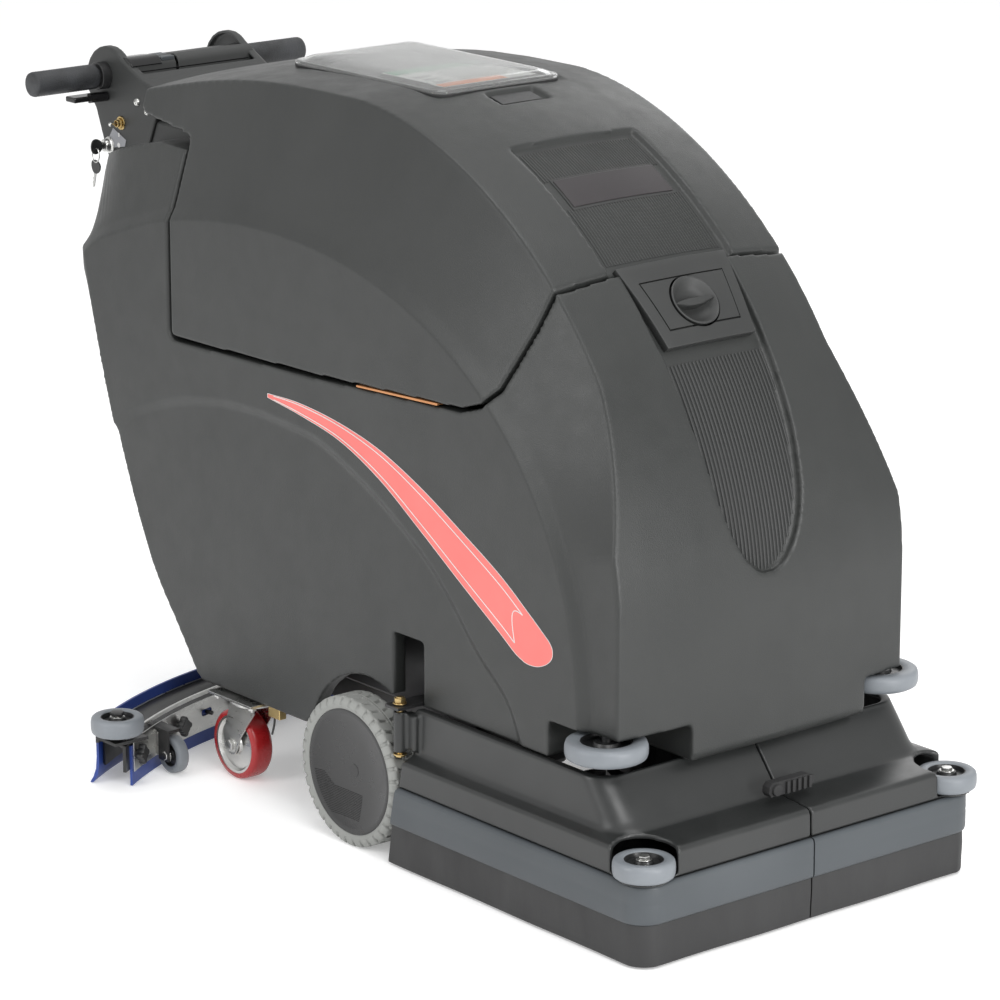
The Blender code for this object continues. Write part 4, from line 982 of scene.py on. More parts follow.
def latch():
    low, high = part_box("door_latch")
    x0, x1 = low.x, high.x
    y0, y1 = low.y - AXLE_Y, high.y - AXLE_Y
    z = (low.z + high.z) / 2
    outline = [(x0 + 0.004, -0.0085), (x1 - 0.008, -0.0085), (x1 - 0.001, -0.004), (x1, 0.000),
            (x1 - 0.001, 0.006), (x1 - 0.010, 0.0098), (x0 + 0.006, 0.0098), (x0 + 0.001, 0.005),
            (x0, -0.003)]
    strap = obj_from("latch_strap", loft("strap",
            [[(px, y, z + pz) for px, pz in outline] for y in (y0 + 0.0045, y1)]), RUBBER)
    raised = []
    for k in range(5):
        x = x0 + 0.030 + 0.0095 * k
        raised.append(box("rib", (x - 0.0022, y0 + 0.0005, z - 0.0075),
                (x + 0.0022, y0 + 0.0080, z + 0.0085)))
    raised.append(rod("stud", "Y", (x0 + 0.012, (y0 + y1) / 2 - 0.001, z), 0.0075, y1 - y0 - 0.002, 32))
    cut(strap, "UNION", *raised)
    bevelled(strap, 0.0012, 3)
    settle(strap, "door_latch", "door_latch")


# ---- wheels and rollers -------------------------------------------------------------------
def bumper_roller(node, body, axis="Z"):
    """A grey tyre on a dished black hub. Returns its middle and half its thickness."""
    low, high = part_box(node)
    middle = (low + high) / 2
    at = (middle.x, middle.y - AXLE_Y, middle.z)
    size = high - low
    index = "XYZ".index(axis)
    half = size[index] / 2
    r = max(size) / 2
    tyre = turned("tyre", axis, at, [(r * 0.60, -half * 0.78), (r * 0.66, -half * 0.96), (r * 0.78, -half),
            (r * 0.90, -half * 0.97), (r * 0.965, -half * 0.80), (r * 0.993, -half * 0.45), (r, 0),
            (r * 0.993, half * 0.45), (r * 0.965, half * 0.80), (r * 0.90, half * 0.97), (r * 0.78, half),
            (r * 0.66, half * 0.96), (r * 0.60, half * 0.78)], 96)
    tyre = shade(obj_from(node + "_tyre", tyre, ROLLER), 60)
    settle(tyre, body, node)
    hub_mesh = turned("hub", axis, at, [(0.0062, -half * 0.80), (r * 0.30, -half * 0.80),
            (r * 0.34, -half * 0.45), (r * 0.56, -half * 0.40), (r * 0.60, -half * 0.86),
            (r * 0.625, -half * 0.86), (r * 0.625, half * 0.86), (r * 0.60, half * 0.86),
            (r * 0.56, half * 0.40), (r * 0.34, half * 0.45), (r * 0.30, half * 0.80),
            (0.0062, half * 0.80)], 72)
    settle(shade(joined(node + "_hub", [hub_mesh], TRIM), 40), body)
    return at, half


def rollers():
    for side in ("left", "right"):
        bumper_roller("squeegee_support_wheel_" + side, "squeegee_support_wheel_" + side, "X")
        for name, holder in (("body_roller_" + side, "machine"), ("door_roller_" + side, "door_" + side),
                ("squeegee_bumper_" + side, "squeegee")):
            (x, y, z), half = bumper_roller(name, name)
            face = half * 0.80
            finish, slot = ZINC, "plated_steel"
            bolt = [rod("washer", "Z", (x, y, z + face + 0.0008), 0.0100, 0.0014, 40),
                    rod("head", "Z", (x, y, z + face + 0.0036), 0.0078, 0.0042, 6)]
            if holder == "machine":
                finish, slot = TRIM, "black_trim"
                bolt = [rod("head", "Z", (x, y, z - face - 0.0040), 0.0090, 0.0050, 6),
                        rod("pin", "Z", (x, y, z + 0.004), 0.0058, 2 * half + 0.012, 32)]
            settle(bevelled(joined(name + "_bolt", bolt, finish), 0.0005, 2), holder)


def tyre_mesh(middle, radius, half, around=720, across=40):
    """The pale tyre: rounded shoulders and two rows of moulded grooves."""
    inner = 0.0862
    tread_from = 0.0935
    wall = [(inner, half * 0.86), (inner + 0.004, half * 0.97), (0.0925, half)]
    profile = [(r, -h) for r, h in wall]
    for j in range(across + 1):
        t = -1 + 2 * j / across
        fall = max(0.0, (abs(t) - 0.72) / 0.28)
        profile.append((radius - 0.0075 * fall ** 2.2, t * half))
    profile += [(r, h) for r, h in reversed(wall)]
    loops = []
    for angle in circle(around):
        loop = []
        for r, h in profile:
            r -= 0.0042 * tread(angle, h / half) if r > tread_from else 0.0
            loop.append((h, r * math.cos(angle), r * math.sin(angle)))
        loops.append(loop)
    mesh = loft("tyre", loops, closed=True)
    mesh.transform(Matrix.Translation((middle.x, 0, middle.z)))
    return mesh


def cap_lines(centre, sign):
    """Fine moulded lines on the hub cap, in two fields."""
    lines = []
    for k in range(24):
        z = -0.066 + 0.0022 * k
        span = math.sqrt(max(0.0, 0.0775 ** 2 - z * z))
        start = -span * 0.10 - 0.012 if z <= -0.030 else span * 0.55 + (z + 0.030) * 1.2
        if span - start < 0.006:
            continue
        ys = [start + (span - start) * m / 8 for m in range(9)]
        lines.append(tube("line", [(centre[0] + sign * dish(math.hypot(y, z)), y, centre[2] + z)
                for y in ys], 0.00055, 5))
    return lines


def drive_wheels():
    for side, sign in SIDES:
        low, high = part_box("drive_tyre_" + side)
        middle = (low + high) / 2
        centre = (middle.x, 0, middle.z)
        wheel = "drive_wheel_" + side
        tyre = tyre_mesh(middle, (high.z - low.z) / 2, (high.x - low.x) / 2)
        tyre = shade(obj_from("drive_tyre_tread_" + side, tyre, TYRE), 40)
        settle(tyre, wheel, "drive_tyre_" + side)
        face = DISH + [(0.0858, 0.0205), (0.0858, -0.0170), (0.070, -0.0140), (0.030, -0.0200),
                (0.0102, -0.0200), (0.0102, 0.0010), (0, 0.0010)]
        cap = turned("cap", "X", centre, face, 128, flip=sign < 0)
        cap = shade(obj_from("hub_cap_" + side, cap, TRIM_CAP), 35)
        settle(cap, wheel, "drive_hub_" + side)
        lines = shade(joined("hub_cap_lines_" + side, cap_lines(centre, sign), GLOSS))
        settle(lines, wheel)


DISH = [(0, 0.0115), (0.020, 0.0118), (0.045, 0.0132), (0.065, 0.0160), (0.078, 0.0195), (0.0835, 0.0212)]


def dish(radius):
    """Height of the hub cap's face at a radius."""
    return float(np.interp(radius, *zip(*DISH)))


def tread(angle, across):
    """How deep the groove is at a place on the tyre's tread, from 0 to 1."""
    phase = (angle * 36 / (2 * math.pi)) % 1.0
    edge = abs(across)
    if edge > 0.66:
        return slot_at(phase, 0.30, 0.14) if edge > 0.74 else 0.0
    if 0.12 < edge < 0.56:
        return slot_at((phase + 0.35 * (edge - 0.12)) % 1.0, 0.62, 0.12)
    return 0.8 if edge < 0.035 else 0.0


def slot_at(value, place, width):
    """1 within a slot round place, falling to 0 at its sides."""
    near = abs(value - place)
    return 1.0 if near < width * 0.7 else max(0.0, 1 - (near - width * 0.7) / (width * 0.5))


def casters():
    for side, sign in SIDES:
        low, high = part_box("caster_plate_" + side)
        top = high.z
        x, y = (low.x + high.x) / 2, (low.y + high.y) / 2 - AXLE_Y
        plate = box("plate", (x - 0.042, y - 0.050, top - 0.0034), (x + 0.042, y + 0.050, top))
        parts = [plate, rod("race", "Z", (x, y, top - 0.0060), 0.024, 0.0050, 64)]
        for sx in (-1, 1):
            for sy in (-1, 1):
                parts.append(rod("bolt", "Z", (x + sx * 0.032, y + sy * 0.040, top - 0.0060), 0.0062,
                        0.0056, 6))
                parts.append(rod("stud", "Z", (x + sx * 0.032, y + sy * 0.040, top - 0.0085), 0.0030,
                        0.0060, 16))
        plate = bevelled(joined("caster_top_plate_" + side, parts, ZINC), 0.0008, 2)
        settle(plate, "machine", "caster_plate_" + side)
        wheel_low, wheel_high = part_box("caster_wheel_" + side)
        wheel = (wheel_low + wheel_high) / 2
        wy, wz = wheel.y - AXLE_Y, wheel.z
        radius = (wheel_high.z - wheel_low.z) / 2
        half = (wheel_high.x - wheel_low.x) / 2
        parts = [turned("crown", "Z", (x, y, 0.1185),
                [(0, 0.0034), (0.0225, 0.0034), (0.0300, 0.0010), (0.0310, -0.0020), (0.0300, -0.0040),
                (0.010, -0.0040), (0, -0.0040)], 64)]
        for edge in (-0.0205, 0.0180):
            outline = [(y - 0.0255, 0.1190), (y + 0.0255, 0.1190), (y + 0.0290, 0.1080),
                    (wy + 0.0185, 0.0620), (wy + 0.0140, 0.0470), (wy + 0.0080, 0.0385), (wy, 0.0360),
                    (wy - 0.0080, 0.0385), (wy - 0.0140, 0.0470), (wy - 0.0200, 0.0640),
                    (y - 0.0280, 0.1080)]
            parts.append(loft("leg", [[(x + edge + d, py, pz) for py, pz in outline] for d in (0, 0.0025)]))
        parts.append(rod("axle", "X", (x, wy, wz), 0.0048, 0.0510, 24))
        for s in (-1, 1):
            parts.append(rod("nut", "X", (x + s * 0.0232, wy, wz), 0.0085, 0.0046, 6))
            parts.append(rod("washer", "X", (x + s * 0.0210, wy, wz), 0.0105, 0.0010, 32))
        fork = bevelled(joined("caster_yoke_" + side, parts, ZINC), 0.0007, 2)
        settle(fork, "caster_fork_" + side, "caster_fork_" + side)
        centre = (x, wy, wz)
        tread_mesh = turned("tread", "X", centre,
                [(radius - 0.0085, -half), (radius - 0.0030, -half + 0.0008),
                (radius - 0.0008, -half + 0.0035), (radius, -half + 0.0075), (radius, half - 0.0075),
                (radius - 0.0008, half - 0.0035), (radius - 0.0030, half - 0.0008),
                (radius - 0.0085, half)], 96)
        tread_piece = shade(obj_from("caster_tread_" + side, tread_mesh, RED), 60)
        settle(tread_piece, "caster_wheel_" + side, "caster_wheel_" + side)
        core = turned("core", "X", centre,
                [(0.0055, -half), (0.0140, -half), (0.0160, -half + 0.0040),
                (radius - 0.0150, -half + 0.0055), (radius - 0.0120, -half + 0.0008),
                (radius - 0.0084, -half + 0.0008), (radius - 0.0084, half - 0.0008),
                (radius - 0.0120, half - 0.0008), (radius - 0.0150, half - 0.0055),
                (0.0160, half - 0.0040), (0.0140, half), (0.0055, half)], 72)
        core = shade(joined("caster_core_" + side, [core], ZINC), 40)
        settle(core, "caster_wheel_" + side)
        # The brake fitting and its thin rod beside the caster.
        bracket = box("bracket", (sign * 0.236 - 0.006, 0.206, 0.1130),
                (sign * 0.236 + 0.006, 0.232, 0.1290))
        bracket = bevelled(obj_from("caster_bracket_" + side, bracket, BRASS), 0.0012, 2)
        settle(bracket, "machine")
        wire = tube("wire", smooth_path([(sign * 0.238, 0.222, 0.118), (sign * 0.239, 0.222, 0.104),
                (sign * 0.240, 0.226, 0.088)], 6), 0.0016, 10)
        wire = shade(obj_from("caster_wire_" + side, wire, STEEL))
        settle(wire, "machine")


# ---- squeegee -----------------------------------------------------------------------------
BOW = 0.700
BOW_Y = 0.545 - BOW
BOW_STEPS = 96


def bowed(name, section, half):
    """A section of (offset towards the front, height) swept along the squeegee's curve."""
    loops = []
    for i in range(BOW_STEPS + 1):
        angle = math.asin(half / BOW) * (-1 + 2 * i / BOW_STEPS)
        loops.append([((BOW - o) * math.sin(angle), BOW_Y + (BOW - o) * math.cos(angle), z)
                for o, z in section])
    return loft(name, loops)


def on_bow(across, offset):
    """Y on the curve at this X and offset, and the angle of the curve there."""
    radius = BOW - offset
    angle = math.asin(across / radius)
    return BOW_Y + radius * math.cos(angle), angle


def placed(mesh, across, offset, height):
    """Moves a mesh made at the origin, facing -Y, onto the squeegee's front."""
    y, angle = on_bow(across, offset)
    mesh.transform(Matrix.Translation((across, y, height)) @ Matrix.Rotation(-angle, 4, "Z"))
    return mesh


def star_knob(radius, depth):
    """A clamping knob with four lobes."""
    loops = []
    for y, grow in ((0.0, 0.55), (-0.0040, 0.55), (-0.0048, 0.92), (-0.0070, 1.0), (-depth + 0.002, 1.0),
            (-depth, 0.90)):
        loop = []
        for a in circle(72):
            lobe = 0.72 + 0.28 * max(0.0, math.cos(4 * a)) ** 0.7 if grow > 0.6 else 0.72
            loop.append((radius * grow * lobe * math.cos(a), y, radius * grow * lobe * math.sin(a)))
        loops.append(loop)
    return loft("knob", loops)


def squeegee():
    rear = [(-0.0004, 0.0890), (0.0030, 0.0890), (0.0036, 0.0400), (0.0034, 0.0250), (0.0014, 0.0130),
            (-0.0030, 0.0050), (-0.0058, 0.0012), (-0.0096, 0.0010), (-0.0098, 0.0024), (-0.0052, 0.0100),
            (-0.0012, 0.0220), (0.0002, 0.0400)]
    front = [(0.0479, 0.0580), (0.0512, 0.0580), (0.0514, 0.0010), (0.0482, 0.0010), (0.0480, 0.0200)]
    for name, section, half, node in (("blade_rear", rear, 0.400, "squeegee_blade_rear"),
            ("blade_front", front, 0.398, "squeegee_blade_front")):
        blade = shade(obj_from(name, bowed(name, section, half), BLUE), 35)
        settle(blade, "squeegee", node)
    spine = solid_copy("squeegee_frame", "squeegee_channel")
    ends = []
    for sign in (-1, 1):
        low, high = sorted((sign * 0.386, sign * 0.430))
        ends.append(box("end", (low, 0.30, -0.01), (high, 0.52, 0.0640)))
    cut(spine, "DIFFERENCE", *ends)
    spine.data.materials.clear()
    spine.data.materials.append(STEEL)
    bevelled(spine, 0.0008, 2)
    settle(spine, "squeegee", "squeegee_frame")
    parts = [bowed("edge", [(0.0038, 0.0742), (0.0062, 0.0742), (0.0062, 0.0752), (0.0038, 0.0752)],
            0.408), bowed("edge", [(0.0446, 0.0742), (0.0478, 0.0742), (0.0478, 0.0700), (0.0484, 0.0700),
            (0.0484, 0.0752), (0.0446, 0.0752)], 0.408)]
    clamp = obj_from("clamp_plate", bowed("clamp",
            [(0.0516, 0.0200), (0.0532, 0.0200), (0.0532, 0.0660), (0.0516, 0.0660)], 0.394), ZINC)
    slots = []
    for sign in (-1, 1):
        for across in (0.178, 0.060):
            loop = [(math.copysign(0.0070, math.cos(a)) + 0.0048 * math.cos(a), 0.0048 * math.sin(a))
                    for a in circle(32)]
            slots.append(placed(loft("slot", [[(x, y, z) for x, z in loop] for y in (-0.004, 0.004)]),
                    sign * across, 0.0522, 0.0460))
    cut(clamp, "DIFFERENCE", *slots)
    bevelled(clamp, 0.0004, 2)
    trims = bevelled(joined("frame_edges", parts, ZINC), 0.0002, 1)
    knobs, bolts, brackets = [], [], []
    for sign in (-1, 1):
        for across in (0.358, 0.243, 0.110):
            knobs.append(placed(star_knob(0.0150, 0.0145), sign * across, 0.0533, 0.0450))
        knobs.append(placed(rod("stud", "Y", (0, -0.0060, 0), 0.0030, 0.0120, 16), sign * 0.178, 0.0520,
                0.0460))
        # The two cheeks that carry each support wheel.
        low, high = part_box("squeegee_support_wheel_left" if sign < 0 else "squeegee_support_wheel_right")
        axle = (low + high) / 2
        y, z = axle.y - AXLE_Y, axle.z
        plane = on_bow(axle.x, 0.0532)[0]
        for edge in (-1, 1):
            x = axle.x + edge * ((high.x - low.x) / 2 + 0.0022)
            outline = [(plane + 0.001, 0.0660), (plane + 0.001, 0.0250), (y + 0.006, z - 0.0075),
                    (y, z - 0.0100), (y - 0.0075, z - 0.0070), (y - 0.0100, z), (y - 0.0080, z + 0.0060)]
            brackets.append(loft("cheek", [[(x + d, py, pz) for py, pz in outline]
                    for d in (-0.0008, 0.0008)]))
            bolts.append(rod("head", "X", (x + edge * 0.0030, y, z), 0.0066, 0.0044, 6))
            bolts.append(rod("washer", "X", (x + edge * 0.0013, y, z), 0.0084, 0.0010, 32))
        bolts.append(rod("axle", "X", (axle.x, y, z), 0.0036, high.x - low.x + 0.006, 24))
    knobs = bevelled(joined("squeegee_knobs", knobs, TRIM), 0.0006, 2)
    bolts = bevelled(joined("squeegee_bolts", bolts, ZINC), 0.0004, 2)
    brackets = bevelled(joined("squeegee_cheeks", brackets, ZINC), 0.0003, 2)
    for piece, slot in ((clamp, "plated_steel"), (trims, "plated_steel"), (knobs, "black_trim"),
            (bolts, "plated_steel"), (brackets, "plated_steel")):
        settle(piece, "squeegee")


# ---- controls -----------------------------------------------------------------------------
CHEEK = -0.1122     # X of the control housing's left face
GRIP = surface("grip_rubber", (0.010, 0.011, 0.012), (0.036, 0.038, 0.042), (0.42, 0.6), grain=520,
        bump=0.9, depth=0.0012, broad=40)
FLANK = surface("column_plastic", (0.019, 0.0203, 0.0198), (0.025, 0.0263, 0.0258), (0.46, 0.56),
        grain=1300, bump=0.25)


def solid_copy(node, name):
    """A CAD piece's shape as a new piece, in the axle frame."""
    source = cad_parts[node]
    mesh = source.data.copy()
    mesh.materials.clear()
    mesh.transform(source.matrix_world)
    mesh.transform(Matrix.Translation((0, -AXLE_Y, 0)))
    return obj_from(name, mesh)


def controls():
    housing = solid_copy("control_housing", "steering_head")
    moulded(housing, 0.0022, 3, soften=1)
    thinned(housing, 0.5)
    housing.data.materials.clear()
    housing.data.materials.append(FLANK)
    settle(housing, "machine", "control_housing")
    dress("operator_panel", finish=GLOSS, width=0.0020)
    bar_low, bar_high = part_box("handlebar")
    bar = (bar_low + bar_high) / 2
    y, z = bar.y - AXLE_Y, bar.z
    rail = rod("rail", "X", (0, y, z), 0.0138, bar_high.x - bar_low.x - 0.001, 48, 0.0015)
    rail = shade(obj_from("handle_rail", rail, STEEL), 40)
    settle(rail, "machine", "handlebar")
    bushes = [rod("bush", "X", (sign * 0.1195, y, z), 0.0195, 0.0150, 48) for sign in (-1, 1)]
    bushes = shade(joined("handle_bushes", bushes, STEEL), 40)
    settle(bushes, "machine")
    head_cover()
    for side, sign in SIDES:
        low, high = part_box("grip_" + side)
        reach, radius = (high.x - low.x) / 2, (high.z - low.z) / 2
        x = (low.x + high.x) / 2
        profile = [(0, -reach), (radius * 0.80, -reach), (radius * 0.93, -reach + 0.0012),
                (radius * 0.985, -reach + 0.0040)]
        rows = 44
        for k in range(rows):
            place = -reach + 0.0060 + (2 * reach - 0.0120) * k / (rows - 1)
            profile.append((radius - (0.0005 if k % 2 else 0.0), place))
        profile += [(radius * 0.985, reach - 0.0040), (radius * 0.93, reach - 0.0012),
                (radius * 0.80, reach), (0, reach)]
        grip = shade(obj_from("hand_grip_" + side, turned("grip", "X", (x, y, z), profile, 72), GRIP), 60)
        settle(grip, "machine", "grip_" + side)
        dress("trigger_" + side, finish=GLOSS, width=0.0015)
    # Two rivets, the toggle with its nut, the small pale label and the key switch on the left cheek.
    for number, (ry, rz) in enumerate(((0.7005, 0.8840), (0.6750, 0.8740))):
        rivet = turned("rivet", "X", (CHEEK, ry, rz),
                [(0, 0.0022), (0.0022, 0.0024), (0.0026, 0.0034), (0.0044, 0.0030), (0.0056, 0.0012),
                (0.0058, -0.0004), (0, -0.0004)], 40, flip=True)
        rivet = shade(obj_from("rivet_%d" % number, rivet, ZINC), 40)
        settle(rivet, "machine")
    nut = middle_of("toggle_nut")
    ty, tz = nut.y - AXLE_Y, nut.z
    parts = [turned("collar", "X", (CHEEK - 0.0004, ty, tz),
            [(0.0040, -0.0006), (0.0098, -0.0006), (0.0100, 0.0006), (0.0094, 0.0014), (0.0040, 0.0014)],
            48, flip=True), rod("hex", "X", (CHEEK - 0.0030, ty, tz), 0.0076, 0.0034, 6),
            turned("neck", "X", (CHEEK - 0.0060, ty, tz),
            [(0.0042, -0.003), (0.0054, -0.003), (0.0054, 0.0026), (0.0050, 0.0030), (0.0042, 0.0030)], 32,
            flip=True)]
    nut_piece = shade(joined("toggle_collar", parts, BRASS), 30)
    settle(nut_piece, "machine", "toggle_nut")
    low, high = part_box("toggle_lever")
    tip = low.x
    lever = turned("lever", "X", (0, ty, tz),
            [(0, -CHEEK + 0.0060), (0.0015, -CHEEK + 0.0060), (0.0017, -tip - 0.0070),
            (0.0024, -tip - 0.0055), (0.0031, -tip - 0.0035), (0.0029, -tip - 0.0014),
            (0.0018, -tip - 0.0002), (0, -tip)], 32, flip=True)
    lever = shade(obj_from("toggle_bat", lever, ZINC), 50)
    settle(lever, "toggle_lever", "toggle_lever")
    label = loft("label", [[(x, py, pz)
            for py, pz in ((0.7620, 0.8380), (0.7300, 0.8250), (0.7330, 0.8150), (0.7800, 0.8060),
            (0.7790, 0.8150))] for x in (CHEEK, CHEEK - 0.0006)])
    label = bevelled(obj_from("switch_label", label,
            surface("label_grey", (0.20, 0.205, 0.22), (0.24, 0.245, 0.26), grain=900, bump=0.05)), 0.0002,
            1)
    settle(label, "machine")
    marks = [rod("dot", "X", (CHEEK - 0.0008, 0.7480, 0.8150), 0.0034, 0.0006, 32),
            box("tick", (CHEEK - 0.0011, 0.7460, 0.8270), (CHEEK - 0.0005, 0.7480, 0.8330))]
    marks = bevelled(joined("switch_marks", marks, WHITE), 0.0001, 1)
    settle(marks, "machine")
    key_switch()


def head_cover():
    """The slotted wall between the ears, in front of the rail, with a glossy pad along its top."""
    outline = [(0.7150, 0.8300), (0.7190, 0.9300), (0.7240, 0.9370), (0.7330, 0.9405), (0.7700, 0.9355),
            (0.7860, 0.9270), (0.7900, 0.9180), (0.7870, 0.9180), (0.7840, 0.9250), (0.7690, 0.9320),
            (0.7340, 0.9370), (0.7260, 0.9345), (0.7225, 0.9290), (0.7190, 0.8300)]
    cover = obj_from("head_cover", loft("cover",
            [[(x, py, pz) for py, pz in outline] for x in (-0.1085, 0.1085)]), FLANK)
    cut(cover, "DIFFERENCE", box("slot", (-0.0300, 0.70, 0.8790), (-0.0255, 0.7600, 0.95)))
    bevelled(cover, 0.0008, 2)
    settle(cover, "machine")
    shelf = bevelled(obj_from("head_floor",
            box("head_floor", (-0.1080, 0.560, 0.790), (0.1080, 0.7160, 0.862)), FLANK), 0.004, 3)
    settle(shelf, "machine")
    pad = loft("pad", [[(x, py + grow, pz + lift)
            for py, pz in ((0.7180, 0.9310), (0.7235, 0.9385), (0.7330, 0.9422), (0.7690, 0.9372),
            (0.7690, 0.9340), (0.7335, 0.9388), (0.7260, 0.9352), (0.7212, 0.9290))]
            for x, grow, lift in ((-0.1080, 0, 0), (-0.1075, -0.001, 0.001), (-0.0560, -0.001, 0.001),
            (-0.0550, 0, 0))])
    pad = bevelled(obj_from("head_trim", pad, GLOSS), 0.0006, 2)
    settle(pad, "machine")
    light_pad = box("light_pad", (-0.0540, 0.7215, 0.9335), (-0.0310, 0.7560, 0.9400))
    light_pad = bevelled(obj_from("head_pad", light_pad, BAND), 0.0015, 3)
    settle(light_pad, "machine")


def key_shape(name, at, blade, tilt):
    """A small key: a blade with cuts, and a black bow with a slot for the ring."""
    bow = loft("bow", [[(x, 0.0110 * math.cos(a), 0.0100 * math.sin(a) + 0.0010 * math.cos(2 * a))
            for a in (2 * math.pi * k / 40 for k in range(40))] for x in (-0.0011, 0.0011)])
    head = obj_from(name, bow, TRIM, shift=False)
    cut(head, "DIFFERENCE", box("eye", (-0.01, -0.0055, 0.0022), (0.01, 0.0055, 0.0066)))
    head.data.transform(Matrix.Translation(at) @ tilt)
    bevelled(head, 0.0004, 2)
    outline = [(-0.0028, -0.0090), (-0.0028, -0.0090 - blade + 0.003), (0.0, -0.0090 - blade)]
    for k in range(6):
        z = -0.0090 - blade + 0.003 + k * (blade - 0.004) / 6
        outline += [(0.0028 if k % 2 else 0.0016, z),
                (0.0028 if k % 2 else 0.0016, z + (blade - 0.004) / 9)]
    outline.append((0.0028, -0.0090))
    mesh = loft("blade", [[(x, y, z) for y, z in outline] for x in (-0.0007, 0.0007)])
    mesh.transform(Matrix.Translation(at) @ tilt)
    blade_piece = obj_from(name + "_blade", mesh, ZINC, shift=False)
    bevelled(blade_piece, 0.0002, 1)
    return head, blade_piece


def key_switch():
    """The key barrel, and two keys on a ring."""
    low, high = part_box("key_barrel")
    middle = (low + high) / 2
    y, z = middle.y - AXLE_Y, middle.z
    barrel = [turned("ring", "X", (0, y, z),
            [(0.0050, -CHEEK - 0.0010), (0.0118, -CHEEK - 0.0010), (0.0122, -CHEEK + 0.0012),
            (0.0108, -CHEEK + 0.0034), (0.0094, -CHEEK + 0.0040), (0.0090, -CHEEK + 0.0100),
            (0.0078, -CHEEK + 0.0114), (0.0050, -CHEEK + 0.0114)], 64, flip=True)]
    shell = shade(joined("key_collar", barrel, ZINC), 40)
    settle(shell, "machine", "key_barrel")
    low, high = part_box("ignition_key")
    along = Matrix.Rotation(math.radians(-90), 4, "Y") @ Matrix.Rotation(math.radians(90), 4, "Z")
    at = Vector((low.x + 0.0102, middle.y, z))
    first = key_shape("key_bow", at, 0.0170, along)
    ring_at = at + Vector((-0.0010, 0.0, -0.0125))
    ring_points = [ring_at + Vector((0.0008 * math.sin(a), 0.0088 * math.cos(a), 0.0100 * math.sin(a)))
            for a in (2 * math.pi * k / 48 for k in range(48))]
    loops = []
    for k in range(48):
        a = 2 * math.pi * k / 48
        out = Vector((0, math.cos(a), math.sin(a)))
        loops.append([ring_points[k] + (out * math.cos(b) + Vector((1, 0, 0)) * math.sin(b)) * 0.0009
                for b in (2 * math.pi * j / 10 for j in range(10))])
    ring = shade(obj_from("key_ring", loft("ring", loops, closed=True), ZINC, shift=False))
    spare = key_shape("spare_key", ring_at + Vector((0.0, 0.0, -0.0160)), 0.0240,
            Matrix.Rotation(math.radians(14), 4, "X"))
    for piece in (first[0], first[1], ring, spare[0], spare[1]):
        settle(piece, "ignition_key")
    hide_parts("ignition_key")


# ---- printed swoosh, strips and hose ------------------------------------------------------
SWOOSH_TOP = [(0.2045, 0.5770), (0.133, 0.5772), (0.046, 0.5674), (-0.039, 0.5482), (-0.122, 0.5166),
        (-0.2035, 0.4772), (-0.2836, 0.4357), (-0.3428, 0.3970), (-0.3760, 0.3740)]
SWOOSH_LOW = [(0.2045, 0.5715), (0.133, 0.5613), (0.0465, 0.5434), (-0.0384, 0.5083), (-0.1215, 0.4590),
        (-0.2032, 0.4080), (-0.2836, 0.3591), (-0.3134, 0.3400), (-0.3330, 0.3320)]
SWOOSH_TIP = [(-0.3820, 0.3690), (-0.3870, 0.3610), (-0.3860, 0.3500), (-0.3760, 0.3400),
        (-0.3600, 0.3330), (-0.3450, 0.3310)]


def decal():
    top, low = smooth_path(SWOOSH_TOP, 10), smooth_path(SWOOSH_LOW, 10)
    outline = top + smooth_path([SWOOSH_TOP[-1]] + SWOOSH_TIP + [SWOOSH_LOW[-1]], 6)[1:-1] + low[::-1]
    for side, sign in SIDES:
        faces = [[(sign * (HALF + d), y, z) for y, z in outline] for d in (-0.0030, 0.0003)]
        mesh = mesh_of("swoosh", faces[0] + faces[1],
                [tuple(range(len(outline))), tuple(range(2 * len(outline) - 1, len(outline) - 1,
                -1))] + [(k, (k + 1) % len(outline), len(outline) + (k + 1) % len(outline),
                len(outline) + k) for k in range(len(outline))])
        patch = obj_from("swoosh_" + side, mesh, DECAL)
        settle(patch, "machine")
        lines = []
        height = sign * (HALF + 0.0003)
        for share in (0.17, 0.83):
            path = []
            for (ya, za), (yb, zb) in zip(top[2:69], low[2:69]):
                path.append((height, ya + (yb - ya) * share, za + (zb - za) * share))
            lines.append(tube("line", path, 0.0007, 6))
        (ya, za), (yb, zb) = top[68], low[68]
        arc = []
        for k in range(13):
            share = 0.17 + 0.66 * k / 12
            rise = math.sin(math.pi * k / 12)
            arc.append((height, ya + (yb - ya) * share + 0.012 * rise,
                    za + (zb - za) * share + 0.018 * rise))
        lines.append(tube("line", arc, 0.0007, 6))
        edge = [(height, y, z) for y, z in outline] + [(height, *outline[0])]
        lines.append(tube("line", edge, 0.0004, 6))
        lines = shade(joined("swoosh_lines_" + side, lines, WHITE))
        settle(lines, "machine")
        strip = [(0.010, 0.6235), (-0.158, 0.6315), (-0.158, 0.6345), (0.010, 0.6262)]
        low_x, high_x = sorted((sign * (HALF - 0.012), sign * (HALF + 0.0006)))
        strip = loft("strip", [[(x, y, z) for y, z in strip] for x in (low_x, high_x)])
        strip = bevelled(obj_from("hinge_leaf_" + side, strip, STRIP), 0.0004, 2)
        settle(strip, "machine")


